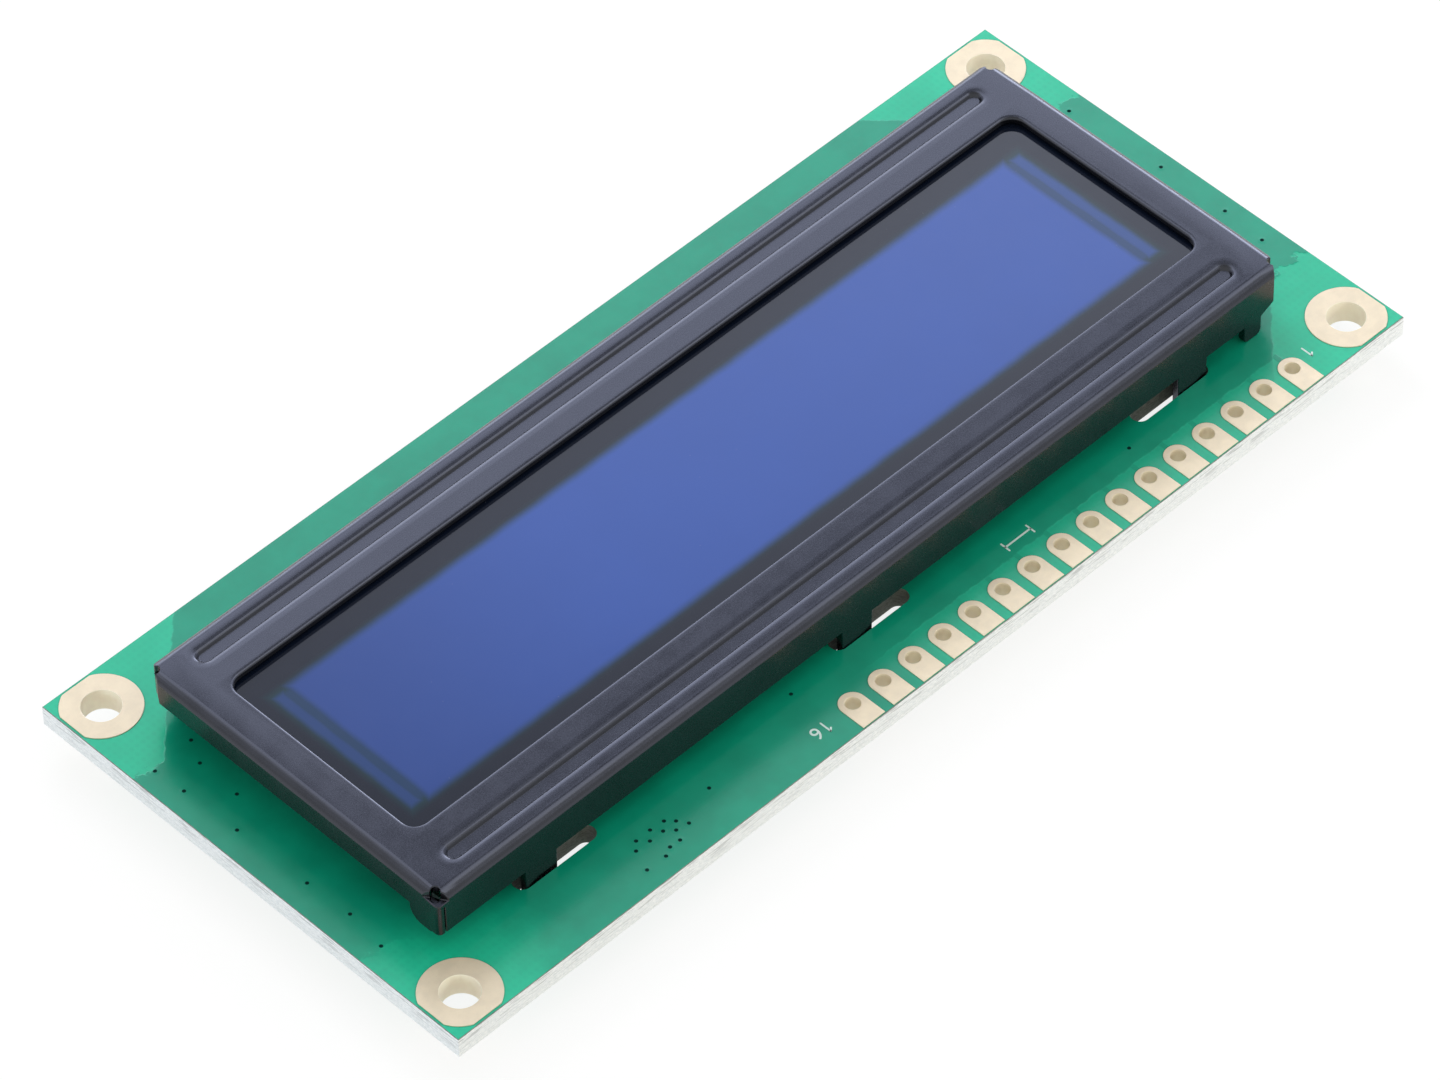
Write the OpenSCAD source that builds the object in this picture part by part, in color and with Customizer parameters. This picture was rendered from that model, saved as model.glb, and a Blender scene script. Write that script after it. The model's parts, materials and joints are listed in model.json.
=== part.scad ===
// Character OLED module: a circuit board with a folded metal bezel that holds a display panel,
// a row of plated pin holes along one edge and a plated mounting hole in each corner.
// Millimetres. +X is the reading direction, +Y points to the pin row, +Z out of the screen.
// The origin is midway between the four mounting holes, on the board's rear face.

/* [Board] */
// Board length along X
board_l = 80; // [79:0.5:88]
// Board width along Y
board_w = 36; // [35.5:0.5:42]
// Board thickness
board_t = 1.6; // [1.2:0.1:2]
// Mounting hole diameter
hole_d = 2.5; // [2.2:0.1:2.8]
// Mounting hole centre to the two nearest board edges
hole_inset = 2.5; // [2.4:0.1:2.6]
// Plated ring diameter around each mounting hole
ring_d = 5.1; // [4.5:0.1:5.2]
// Bare margin left between each ring and the board edges, where the ring is cut flat
ring_margin = 0.2; // [0.1:0.05:0.4]

/* [Pin row] */
// Number of pin holes
pin_count = 16; // [14:1:16]
// Distance between pin holes
pin_pitch = 2.54; // [2.5:0.01:2.54]
// Pin hole diameter
pin_d = 1; // [0.8:0.05:1.1]
// Pad width at each pin hole
pad_w = 1.8; // [1.6:0.05:2]
// First pin hole to the board's left edge
pin_start = 8; // [7.5:0.1:9]
// Pin row to the board's pin edge
pin_inset = 1.9; // [1.5:0.1:2.1]
// Thickness of all plating
plating_t = 0.05; // [0.03:0.01:0.08]

/* [Bezel] */
// Bezel length along X
bezel_l = 71.2; // [70.4:0.2:72]
// Bezel width along Y
bezel_w = 25.4; // [25:0.1:26]
// Bezel front above the board's front face
bezel_rise = 4.9; // [4.7:0.1:5.6]
// Bezel centre along X
bezel_x = 0.7; // [0:0.1:1]
// Bezel centre along Y
bezel_y = -0.1; // [-0.3:0.1:0.2]
// Sheet thickness
sheet_t = 0.5; // [0.4:0.05:0.55]
// Outer bend radius
bend_r = 0.65; // [0.6:0.05:0.8]
// Bezel front left on each side of the window along X
frame_x = 2.6; // [2.6:0.1:5]
// Bezel front left on each side of the window along Y
frame_y = 4.7; // [4.7:0.1:5.7]
// Window corner radius
window_r = 1; // [0.5:0.1:2]
// Drop of the long walls below the bezel front
long_drop = 3.5; // [3:0.1:3.7]
// Drop of the short walls below the bezel front
short_drop = 2.4; // [2.2:0.1:2.8]

/* [Grooves] */
// Groove width at the bezel front
groove_lip = 1.3; // [1.1:0.05:1.4]
// Groove width at its floor
groove_floor = 0.7; // [0.5:0.05:0.8]
// Groove depth, which also sets the panel below the bezel
groove_depth = 0.35; // [0.3:0.05:0.45]
// Groove centre line to the bezel's long side
groove_inset = 2; // [1.9:0.05:2.05]
// Groove tip to the bezel's short side
groove_end = 2.6; // [2.4:0.1:4]

/* [Tabs and feet] */
// Tab width
tab_w = 2.6; // [2:0.1:3]
// Distance between neighbouring tab slots
tab_pitch = 26; // [25:0.5:26]
// Tab slot length in the board
slot_l = 6.4; // [6:0.1:7]
// Twist of the tab ends behind the board
tab_twist = 35; // [20:5:45]
// Reach of the tab ends behind the board
tab_reach = 1.9; // [1.8:0.1:2.4]
// Foot width
foot_w = 1.5; // [1.2:0.1:1.8]

/* [Panel] */
// Front glass thickness
front_glass_t = 0.7; // [0.5:0.05:0.8]
// Cap glass thickness
cap_glass_t = 0.9; // [0.7:0.05:1.1]
// Polariser thickness
polariser_t = 0.15; // [0.1:0.05:0.25]
// Contact ledge left uncovered by the cap glass
ledge_w = 2.6; // [2.4:0.1:3]
// Flex tail width
flex_w = 30; // [20:1:50]

/* [Rear parts] */
// Controller dome diameter
glob_d = 15; // [12:0.5:16]
// Controller dome height
glob_h = 1.5; // [1.2:0.1:1.6]
// Inductor side length
inductor_s = 4; // [3:0.2:4.4]
// Inductor height
inductor_h = 1.4; // [1:0.1:1.6]

/* [Hidden] */
$fn = 96;
// How far a cutting shape stands proud of the face it cuts
cut_over = 0.1;

// Board
hole_x = board_l / 2 - hole_inset;
hole_y = board_w / 2 - hole_inset;
pin_x = -board_l / 2 + pin_start;
pin_y = board_w / 2 - pin_inset;

// Bezel, with heights below its front counted negative
bezel_top = board_t + bezel_rise;
window_l = bezel_l - 2 * frame_x;
window_w = bezel_w - 2 * frame_y;
// Long walls stop short of the short sides
wall_back = 0.85;
long_run = bezel_l / 2 - wall_back;
// Short bends stop short of the long sides
strip_back = 1.5;
short_run = bezel_w / 2 - strip_back;
// Round relief at each corner
notch_r = 0.55;
notch_below = 0.3;
notch_depth = bend_r + notch_below;
// Lobe at one end of each short wall
lobe_lap = 0.22;
lobe_gap = 0.32;
lobe_top = 1.7;
lobe_below = 1.2;
lobe_drop = short_drop + lobe_below;
lobe_r = 0.4;
// Rise of the long wall's lower edge outside the foot
end_rise = 0.55;
foot_back = 1.98;
foot_r = 0.4;

// Tabs and the slots they pass through
slot_out = 0.1;
slot_in = 0.7;
slot_w = sheet_t + slot_out + slot_in;
slot_y = bezel_w / 2 + slot_out - slot_w / 2;
tab_end_gap = 0.4;
tab_shift = slot_l / 2 - tab_end_gap - tab_w / 2;
// Straight part of a tab that runs on into its twisted end
tab_root = 0.4;
// Slot number along X, and which end of the slot its tab stands at
tab_places = [[-1, -1], [0, 1], [1, 1]];

// Grooves
groove_half = bezel_l / 2 - groove_end - groove_lip / 2;
groove_y = bezel_w / 2 - groove_inset;
rib_grow = 0.25;
rib_lip = groove_lip + 2 * rib_grow;
rib_floor = groove_floor + 2 * rib_grow;

// Panel, stacked down from the groove ribs to the board
panel_gap = 0.5;
front_glass_l = bezel_l - 2 * sheet_t - 2 * panel_gap;
front_glass_w = bezel_w - 2 * sheet_t - 2 * panel_gap;
front_glass_z = bezel_top - sheet_t - groove_depth - front_glass_t;
polariser_lap = 1.3;
polariser_gap = 0.1;
polariser_l = window_l + 2 * polariser_lap;
polariser_room = 2 * (groove_y - rib_lip / 2 - polariser_gap);
polariser_w = min(window_w + 2 * polariser_lap, polariser_room);
polariser_z = front_glass_z + front_glass_t;
cap_glass_z = front_glass_z - cap_glass_t;
cap_inset_x = 0.5;
cap_inset_y = 0.2;
cap_glass_l = front_glass_l - 2 * cap_inset_x;
cap_y0 = -front_glass_w / 2 + ledge_w;
cap_y1 = front_glass_w / 2 - cap_inset_y;
// Sealed cavity in the cap glass, with the emitter above and the drying sheet below
emitter_t = 0.05;
emitter_rim_x = 2;
emitter_rim_y = 1.85;
emitter_l = window_l - 2 * emitter_rim_x;
emitter_w = window_w - 2 * emitter_rim_y;
cavity_rim = 0.8;
cavity_depth = 0.3;
cavity_l = emitter_l + 2 * cavity_rim;
cavity_w = emitter_w + 2 * cavity_rim;
desiccant_t = 0.15;
desiccant_rim = 3;
desiccant_l = cavity_l - 2 * desiccant_rim;
desiccant_w = cavity_w - 2 * desiccant_rim;
// Spacer frame between the board and the cap glass
spacer_inset = 0.5;
spacer_wall = 2.2;
spacer_l = cap_glass_l - 2 * spacer_inset;
spacer_y0 = cap_y0 + spacer_inset;
spacer_y1 = cap_y1 - spacer_inset;
// Flex tail from the contact ledge down to the board
flex_t = 0.1;
flex_r = 0.5;
flex_gap = 0.3;
flex_leg = 1.7;
flex_y = cap_y0 - flex_gap;
flex_h = front_glass_z - board_t;

// Rear parts, placed as [x, y, turn]
glob_x = -12;
glob_y = 0;
glob_ball = (glob_d * glob_d / 4 + glob_h * glob_h) / (2 * glob_h);
inductor_at = [17, 4, 0];
inductor_r = 0.5;
inductor_foot_t = 0.1;
inductor_foot_w = 1.1;
regulator_at = [10.5, 4, 90];
regulator_size = [2.9, 1.6, 1];
regulator_pitch = 0.95;
diode_at = [17, 9, 0];
diode_size = [2.7, 1.6, 1];
stand_off = 0.1;
lead_t = 0.15;
lead_run = 0.6;
lead_foot = 0.35;
lead_w = 0.4;
diode_lead_w = 0.7;
capacitor_size = [2, 1.25, 0.9];
capacitor_end = 0.4;
capacitor_at = [[22.5, 2, 90], [22.5, 6.5, 90], [10.5, 8.5, 0], [6, 4, 90], [-28, 3, 90], [-12, -10, 0]];
resistor_size = [1.6, 0.8, 0.45];
resistor_end = 0.3;
resistor_at = [[10.5, 0, 0], [13, -3, 90], [16, -3, 90], [19, -3, 90], [-24, 6, 0], [-24, 8, 0], [-1, 0, 90]];
jumper_size = [1, 1.3];
jumper_at = [[-24, -4], [-22.5, -4], [-24, -7], [-22.5, -7], [28, -3], [29.5, -3], [28, 4], [29.5, 4]];

// Rectangle with round corners, centred
module rounded_rect(l, w, r) {
    square([l - 2 * r, w], center = true);
    square([l, w - 2 * r], center = true);
    for (x = [-1, 1], y = [-1, 1])
        translate([x * (l / 2 - r), y * (w / 2 - r)]) circle(r);
}

// Slot with round ends along X, centred
module round_slot(l, w) {
    square([l - w, w], center = true);
    for (x = [-1, 1])
        translate([x * (l - w) / 2, 0]) circle(d = w);
}

// Rectangle that hangs from y = 0, with its two lower corners round
module hanging_strip(w, h, r) {
    translate([-w / 2, -h + r]) square([w, h - r]);
    translate([-w / 2 + r, -h]) square([w - 2 * r, r]);
    for (x = [-1, 1])
        translate([x * (w / 2 - r), -h + r]) circle(r);
}

// Places children at the bezel's centre, at height z
module at_bezel(z) {
    translate([bezel_x, bezel_y, z]) children();
}

// Places children at each mounting hole
module at_mounting_holes() {
    for (x = [-1, 1], y = [-1, 1])
        translate([x * hole_x, y * hole_y]) children();
}

// Places children at each pin hole
module at_pin_holes() {
    for (i = [0 : pin_count - 1])
        translate([pin_x + i * pin_pitch, pin_y]) children();
}

// Places a part on the board's rear face, with its own +Z pointing away from the board
module on_rear(at) {
    translate([at[0], at[1], 0]) rotate([180, 0, at[2]]) children();
}

module tab_slots() {
    for (turn = [0, 180], place = tab_places)
        rotate(turn) translate([place[0] * tab_pitch, slot_y])
            round_slot(slot_l, slot_w);
}

module board() {
    color([0.1, 0.55, 0.4]) linear_extrude(board_t) difference() {
        square([board_l, board_w], center = true);
        at_mounting_holes() circle(d = hole_d + 2 * plating_t);
        at_pin_holes() circle(d = pin_d);
        translate([bezel_x, bezel_y]) tab_slots();
    }
}

module ring_outline() {
    intersection() {
        at_mounting_holes() circle(d = ring_d);
        square([board_l - 2 * ring_margin, board_w - 2 * ring_margin], center = true);
    }
}

// Pads on both board faces: children(0) is the outline, children(1) the hole
module pads_both_faces() {
    for (z = [-plating_t, board_t])
        translate([0, 0, z]) linear_extrude(plating_t) difference() {
            children(0);
            children(1);
        }
}

module mounting_rings() {
    color([0.9, 0.8, 0.6]) {
        pads_both_faces() {
            ring_outline();
            at_mounting_holes() circle(d = hole_d);
        }
        linear_extrude(board_t) at_mounting_holes() difference() {
            circle(d = hole_d + 2 * plating_t);
            circle(d = hole_d);
        }
    }
}

module pin_pad_outline() {
    circle(d = pad_w);
    translate([-pad_w / 2, 0]) square([pad_w, pin_inset]);
}

module pin_pads() {
    color([0.9, 0.8, 0.6]) pads_both_faces() {
        at_pin_holes() pin_pad_outline();
        at_pin_holes() circle(d = pin_d);
    }
}

// Section of the sheet across two opposite bends
module fold_section(span) {
    translate([-span / 2 + bend_r, -sheet_t]) square([span - 2 * bend_r, sheet_t]);
    for (side = [0, 1])
        mirror([side, 0]) translate([span / 2 - bend_r, -bend_r]) difference() {
            intersection() {
                circle(bend_r);
                square(bend_r);
            }
            circle(bend_r - sheet_t);
        }
}

// Long wall below its bend, with a foot, three tabs and a sloped end
module long_wall_outline() {
    foot_x = -bezel_l / 2 + foot_back + foot_w / 2;
    polygon([
        [-long_run, -bend_r],
        [long_run, -bend_r],
        [long_run, -long_drop],
        [foot_x - foot_w / 2, -long_drop],
        [-long_run, -long_drop + end_rise]
    ]);
    translate([foot_x, -bend_r]) hanging_strip(foot_w, bezel_rise - bend_r, foot_r);
    for (place = tab_places)
        translate([tab_x(place), -bend_r - tab_length() / 2]) square([tab_w, tab_length()], center = true);
}

function tab_x(place) = place[0] * tab_pitch + place[1] * tab_shift;
function tab_length() = bezel_rise + board_t + tab_root - bend_r;

// Short wall below its bend, with a lobe at the end where y is positive
module short_wall_outline() {
    lobe_y0 = short_run - lobe_lap;
    lobe_y1 = bezel_w / 2 - lobe_gap;
    translate([-short_run, -short_drop]) square([2 * short_run, short_drop - bend_r]);
    translate([(lobe_y0 + lobe_y1) / 2, -lobe_top])
        hanging_strip(lobe_y1 - lobe_y0, lobe_drop - lobe_top, lobe_r);
}

// Tab ends turned behind the board
module twisted_tabs() {
    for (place = tab_places)
        translate([tab_x(place), bezel_w / 2 - sheet_t / 2, -bezel_top - tab_reach / 2])
            rotate(tab_twist) cube([tab_w, sheet_t, tab_reach], center = true);
}

// Long form with sloped sides and round ends, its wide side at z = 0
module groove_form(lip, floor_w, over) {
    slope = (lip - floor_w) / groove_depth;
    top_w = lip + slope * over;
    rotate([90, 0, 90]) linear_extrude(2 * groove_half, center = true)
        polygon([
            [-top_w / 2, over],
            [-floor_w / 2, -groove_depth],
            [floor_w / 2, -groove_depth],
            [top_w / 2, over]
        ]);
    for (x = [-1, 1])
        translate([x * groove_half, 0, -groove_depth])
            cylinder(h = groove_depth + over, d1 = floor_w, d2 = top_w);
}

module bezel() {
    color([0.34, 0.34, 0.4]) at_bezel(bezel_top) difference() {
        union() {
            rotate([90, 0, 90]) linear_extrude(2 * long_run, center = true) fold_section(bezel_w);
            rotate([90, 0, 0]) linear_extrude(2 * short_run, center = true) fold_section(bezel_l);
            for (turn = [0, 180]) rotate(turn) {
                translate([0, bezel_w / 2, 0]) rotate([90, 0, 0]) linear_extrude(sheet_t) long_wall_outline();
                translate([bezel_l / 2 - sheet_t, 0, 0]) rotate([90, 0, 90]) linear_extrude(sheet_t)
                    short_wall_outline();
                twisted_tabs();
                translate([0, groove_y, -sheet_t]) groove_form(rib_lip, rib_floor, cut_over);
            }
        }
        for (turn = [0, 180])
            rotate(turn) translate([0, groove_y, 0]) groove_form(groove_lip, groove_floor, cut_over);
        for (x = [-1, 1], y = [-1, 1])
            translate([x * (bezel_l / 2 - bend_r), y * (bezel_w / 2 - bend_r), -notch_depth])
                cylinder(h = notch_depth + cut_over, r = notch_r);
        translate([0, 0, -sheet_t - cut_over]) linear_extrude(sheet_t + 2 * cut_over)
            rounded_rect(window_l, window_w, window_r);
    }
}

module polariser() {
    color([0.22, 0.23, 0.28]) at_bezel(polariser_z) linear_extrude(polariser_t)
        square([polariser_l, polariser_w], center = true);
}

module front_glass() {
    color([0.7, 0.8, 0.85, 0.6]) at_bezel(front_glass_z) linear_extrude(front_glass_t)
        square([front_glass_l, front_glass_w], center = true);
}

module emitter_film() {
    color([0.35, 0.45, 0.75]) at_bezel(front_glass_z - emitter_t) linear_extrude(emitter_t)
        square([emitter_l, emitter_w], center = true);
}

module desiccant_sheet() {
    color([0.9, 0.9, 0.86]) at_bezel(front_glass_z - cavity_depth) linear_extrude(desiccant_t)
        square([desiccant_l, desiccant_w], center = true);
}

module cap_glass() {
    color([0.7, 0.8, 0.85, 0.6]) at_bezel(cap_glass_z) difference() {
        translate([-cap_glass_l / 2, cap_y0, 0]) cube([cap_glass_l, cap_y1 - cap_y0, cap_glass_t]);
        translate([0, 0, cap_glass_t - cavity_depth]) linear_extrude(cavity_depth + cut_over)
            square([cavity_l, cavity_w], center = true);
    }
}

// Section of the flex tail: a C with round bends that opens away from the cap glass
module flex_section() {
    box_l = 2 * flex_leg;
    intersection() {
        difference() {
            translate([-flex_leg, flex_h / 2]) rounded_rect(box_l, flex_h, flex_r);
            translate([-flex_leg, flex_h / 2])
                rounded_rect(box_l - 2 * flex_t, flex_h - 2 * flex_t, flex_r - flex_t);
        }
        translate([-flex_leg, 0]) square([flex_leg, flex_h]);
    }
}

module flex_tail() {
    color([0.75, 0.45, 0.1]) at_bezel(board_t) translate([0, flex_y, 0])
        rotate([90, 0, 90]) linear_extrude(flex_w, center = true) flex_section();
}

module spacer_frame() {
    spacer_w = spacer_y1 - spacer_y0;
    color([0.08, 0.08, 0.09]) at_bezel(board_t) linear_extrude(cap_glass_z - board_t)
        translate([0, (spacer_y0 + spacer_y1) / 2]) difference() {
            square([spacer_l, spacer_w], center = true);
            square([spacer_l - 2 * spacer_wall, spacer_w - 2 * spacer_wall], center = true);
        }
}

module controller_glob() {
    color([0.05, 0.05, 0.06]) on_rear([glob_x, glob_y, 0]) rotate_extrude() intersection() {
        translate([0, glob_h - glob_ball]) circle(glob_ball, $fn = 720);
        square(glob_d);
    }
}

module inductor_core() {
    color([0.2, 0.2, 0.21]) on_rear(inductor_at) translate([0, 0, inductor_foot_t])
        linear_extrude(inductor_h) rounded_rect(inductor_s, inductor_s, inductor_r);
}

module inductor_terminals() {
    color([0.8, 0.8, 0.78]) on_rear(inductor_at)
        for (x = [-1, 1])
            translate([x * (inductor_s - inductor_foot_w) / 2, 0, inductor_foot_t / 2])
                cube([inductor_foot_w, inductor_s - 2 * inductor_r, inductor_foot_t], center = true);
}

// Plastic body that stands just clear of the board
module lead_body(size) {
    translate([0, 0, stand_off + size[2] / 2]) cube(size, center = true);
}

// Bent lead that runs out along +Y from a body side at y = 0 to a foot on the board
module bent_lead(w, height) {
    rotate([90, 0, 90]) linear_extrude(w, center = true) polygon([
        [0, height],
        [lead_run - lead_foot - lead_t, height],
        [lead_run - lead_foot - lead_t, 0],
        [lead_run, 0],
        [lead_run, lead_t],
        [lead_run - lead_foot, lead_t],
        [lead_run - lead_foot, height + lead_t],
        [0, height + lead_t]
    ]);
}

module regulator_body() {
    color([0.06, 0.06, 0.07]) on_rear(regulator_at) lead_body(regulator_size);
}

module regulator_leads() {
    color([0.8, 0.8, 0.78]) on_rear(regulator_at)
        for (turn = [0, 180], i = [-1, 0, 1])
            rotate(turn) translate([i * regulator_pitch, regulator_size[1] / 2, 0])
                bent_lead(lead_w, regulator_size[2] / 2);
}

module diode_body() {
    color([0.06, 0.06, 0.07]) on_rear(diode_at) lead_body(diode_size);
}

module diode_leads() {
    color([0.8, 0.8, 0.78]) on_rear(diode_at)
        for (turn = [90, 270])
            rotate(turn) translate([0, diode_size[0] / 2, 0]) bent_lead(diode_lead_w, diode_size[2] / 2);
}

// Middle of a chip part, between its two metal ends
module chip_middle(size, end) {
    translate([0, 0, size[2] / 2]) cube([size[0] - 2 * end, size[1], size[2]], center = true);
}

// The two metal ends of a chip part
module chip_ends(size, end) {
    for (x = [-1, 1])
        translate([x * (size[0] - end) / 2, 0, size[2] / 2]) cube([end, size[1], size[2]], center = true);
}

module chip_capacitors() {
    color([0.62, 0.5, 0.36]) for (at = capacitor_at) on_rear(at) chip_middle(capacitor_size, capacitor_end);
}

module capacitor_terminals() {
    color([0.8, 0.8, 0.78]) for (at = capacitor_at) on_rear(at) chip_ends(capacitor_size, capacitor_end);
}

module chip_resistors() {
    color([0.1, 0.1, 0.11]) for (at = resistor_at) on_rear(at) chip_middle(resistor_size, resistor_end);
}

module resistor_terminals() {
    color([0.8, 0.8, 0.78]) for (at = resistor_at) on_rear(at) chip_ends(resistor_size, resistor_end);
}

module jumper_pads() {
    color([0.9, 0.8, 0.6])
        for (at = jumper_at)
            translate([at[0], at[1], -plating_t]) linear_extrude(plating_t) square(jumper_size, center = true);
}

board();
mounting_rings();
pin_pads();
bezel();
polariser();
front_glass();
emitter_film();
desiccant_sheet();
cap_glass();
flex_tail();
spacer_frame();
controller_glob();
inductor_core();
inductor_terminals();
regulator_body();
regulator_leads();
diode_body();
diode_leads();
chip_capacitors();
capacitor_terminals();
chip_resistors();
resistor_terminals();
jumper_pads();
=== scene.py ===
import json
import math

import bmesh
import bpy
from bpy.props import FloatProperty, FloatVectorProperty, PointerProperty
from mathutils import Matrix, Vector


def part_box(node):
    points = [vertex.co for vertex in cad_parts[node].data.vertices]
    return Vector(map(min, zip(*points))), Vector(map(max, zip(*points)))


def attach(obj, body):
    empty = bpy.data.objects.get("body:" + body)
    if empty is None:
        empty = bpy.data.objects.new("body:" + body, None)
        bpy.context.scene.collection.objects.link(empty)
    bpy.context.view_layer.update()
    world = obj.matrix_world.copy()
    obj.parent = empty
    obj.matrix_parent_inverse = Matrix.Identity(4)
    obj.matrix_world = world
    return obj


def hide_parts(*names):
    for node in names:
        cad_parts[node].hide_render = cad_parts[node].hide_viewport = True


bl_info = {
    "name": "Character OLED Module",
    "version": (1, 0, 0),
    "blender": (4, 5, 0),
    "location": "3D View > Sidebar > OLED Module",
    "description": "Builds a character OLED module: board, bezel, display panel and rear parts",
    "category": "Object",
}

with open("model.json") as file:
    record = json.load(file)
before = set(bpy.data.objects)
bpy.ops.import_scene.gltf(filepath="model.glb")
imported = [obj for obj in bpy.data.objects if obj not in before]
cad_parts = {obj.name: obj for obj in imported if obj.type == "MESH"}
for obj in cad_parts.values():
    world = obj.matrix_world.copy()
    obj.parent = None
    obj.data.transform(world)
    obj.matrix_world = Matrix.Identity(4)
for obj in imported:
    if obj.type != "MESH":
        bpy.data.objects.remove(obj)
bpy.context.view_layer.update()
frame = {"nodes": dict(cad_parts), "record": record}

# Pieces are modelled in millimetres and scaled to metres when they are finished
MM = 0.001


def box_mm(node):
    """Lowest and highest corner of a CAD node, in millimetres."""
    low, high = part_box(node)
    return low / MM, high / MM


BOARD_LOW, BOARD_HIGH = box_mm("board")
BEZEL_LOW, BEZEL_HIGH = box_mm("bezel")
_, PADS_HIGH = box_mm("pin_pads")
FILM_LOW, FILM_HIGH = box_mm("polariser")
BEZEL_X = (BEZEL_LOW.x + BEZEL_HIGH.x) / 2
BEZEL_Y = (BEZEL_LOW.y + BEZEL_HIGH.y) / 2
REST_Z = BEZEL_LOW.z

# Mounting holes and pin holes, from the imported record
MOUNTS = {mount["name"]: mount for mount in frame["record"]["mounts"]}
PIN_AT = sorted(
    (mount["pos_m"][0] / MM, mount["pos_m"][1] / MM)
    for name, mount in MOUNTS.items()
    if name.startswith("pin_")
)
PIN_PITCH = 2.54
ROW_X = (PIN_AT[0][0] + PIN_AT[-1][0]) / 2
ROW_Y = PIN_AT[0][1]
HOLE_X = MOUNTS["mounting_holes"]["dims"]["spacing_x_mm"] / 2
HOLE_Y = MOUNTS["mounting_holes"]["dims"]["spacing_y_mm"] / 2
CORNERS = [(sign_x, sign_y) for sign_x in (-1, 1) for sign_y in (-1, 1)]

# Wall of the plating in the mounting holes, and heights that a drill passes
BARREL = 0.05
DRILL_Z = (-1, 3)

# Tabs that hold the bezel, by their middle along X, the slots they pass through, and a zone that holds these
TAB_X = (-27.5, 1.5, 27.5)
TAB_WIDTH = 2.6
TAB_TWIST = math.radians(35)
SLOT_X = (-26.0, 0.0, 26.0)
SLOT_Y = 12.15
SLOT_SIZE = (6.4, 1.3)
SLOT_ZONE = (32, 14)

# Copper under the mask: its stops beside the mounting holes and below the pin row, each as a soft step
COPPER_SLANT = (6.2, 6.4)
COPPER_SIDE = (5.6, 5.8)
COPPER_FADE = (3.05, 8.45)
COPPER_ROW = (14.75, 14.6)
TRACE_WIDTH = (0.2, 0.16)

# Height and line width of the printed marks
PRINT_HEIGHT = 0.012
PRINT_LINE = 0.12

# Small plated through holes on the front, under the mask
VIA_AT = (
    (35.54, -9.75), (36.37, -8.05), (38.65, -9.48), (38.48, -7.11), (36.45, -4.72), (38.31, -2.67),
    (38.16, 3.22), (37.99, 6.72), (38.36, 9.76), (16.65, 14.71), (20.28, 14.64), (19.78, 15.14),
    (19.36, 15.79), (21.33, 14.55), (20.85, 15.15), (20.26, 15.64), (22.49, 14.57), (21.92, 15.15),
    (20.63, 16.35), (21.41, 16.31), (23.02, 15.12), (22.06, 16.64), (23.57, 16.61), (-38.44, -9.08),
    (-38.91, -1.55), (-38.92, 3.94), (-38.7, 7.3), (-20.23, 13.54), (8.13, 12.95),
)

# Rear parts, each as x, y and turn in degrees
CAPACITOR_AT = (
    (22.5, 2, 90), (22.5, 6.5, 90), (10.5, 8.5, 0), (6, 4, 90), (-28, 3, 90), (-12, -10, 0),
)
RESISTOR_AT = (
    (10.5, 0, 0), (13, -3, 90), (16, -3, 90), (19, -3, 90), (-24, 6, 0), (-24, 8, 0), (-1, 0, 90),
)
JUMPER_AT = (
    (-24, -4), (-22.5, -4), (-24, -7), (-22.5, -7), (28, -3), (29.5, -3), (28, 4), (29.5, 4),
)


class ModuleSizes(bpy.types.PropertyGroup):
    """Sizes of the pieces, in metres"""

    sheet: FloatProperty(
        name="Sheet", description="Thickness of the bezel sheet", default=0.0005, unit="LENGTH"
    )
    bend: FloatProperty(
        name="Bend", description="Outer radius of the bezel bends", default=0.00065, unit="LENGTH"
    )
    bezel_width: FloatProperty(
        name="Bezel width", description="Bezel across its long walls", default=0.0254, unit="LENGTH"
    )
    bezel_length: FloatProperty(
        name="Bezel length",
        description="Bezel across its short walls",
        default=(BEZEL_HIGH.x - BEZEL_LOW.x) * MM,
        unit="LENGTH",
    )
    window_length: FloatProperty(
        name="Window length", description="Opening in the bezel along X", default=0.066, unit="LENGTH"
    )
    window_width: FloatProperty(
        name="Window width", description="Opening in the bezel along Y", default=0.016, unit="LENGTH"
    )
    window_edge: FloatProperty(
        name="Window edge",
        description="Rounding of the window's upper edge",
        default=0.00025,
        unit="LENGTH",
    )
    pad_width: FloatProperty(
        name="Pad width", description="Width of a pin pad", default=0.0018, unit="LENGTH"
    )
    pin_hole: FloatProperty(
        name="Pin hole",
        description="Diameter of a pin hole",
        default=2 * MOUNTS["pin_1"]["dims"]["r_mm"] * MM,
        unit="LENGTH",
    )
    ring: FloatProperty(
        name="Ring", description="Diameter of the plated mounting rings", default=0.0051, unit="LENGTH"
    )
    mounting_hole: FloatProperty(
        name="Mounting hole",
        description="Diameter of the mounting holes",
        default=2 * MOUNTS["mounting_holes"]["dims"]["hole_r_mm"] * MM,
        unit="LENGTH",
    )


# What every colour on the panel has in common
COLOUR = {"subtype": "COLOR", "min": 0, "max": 1}


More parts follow.
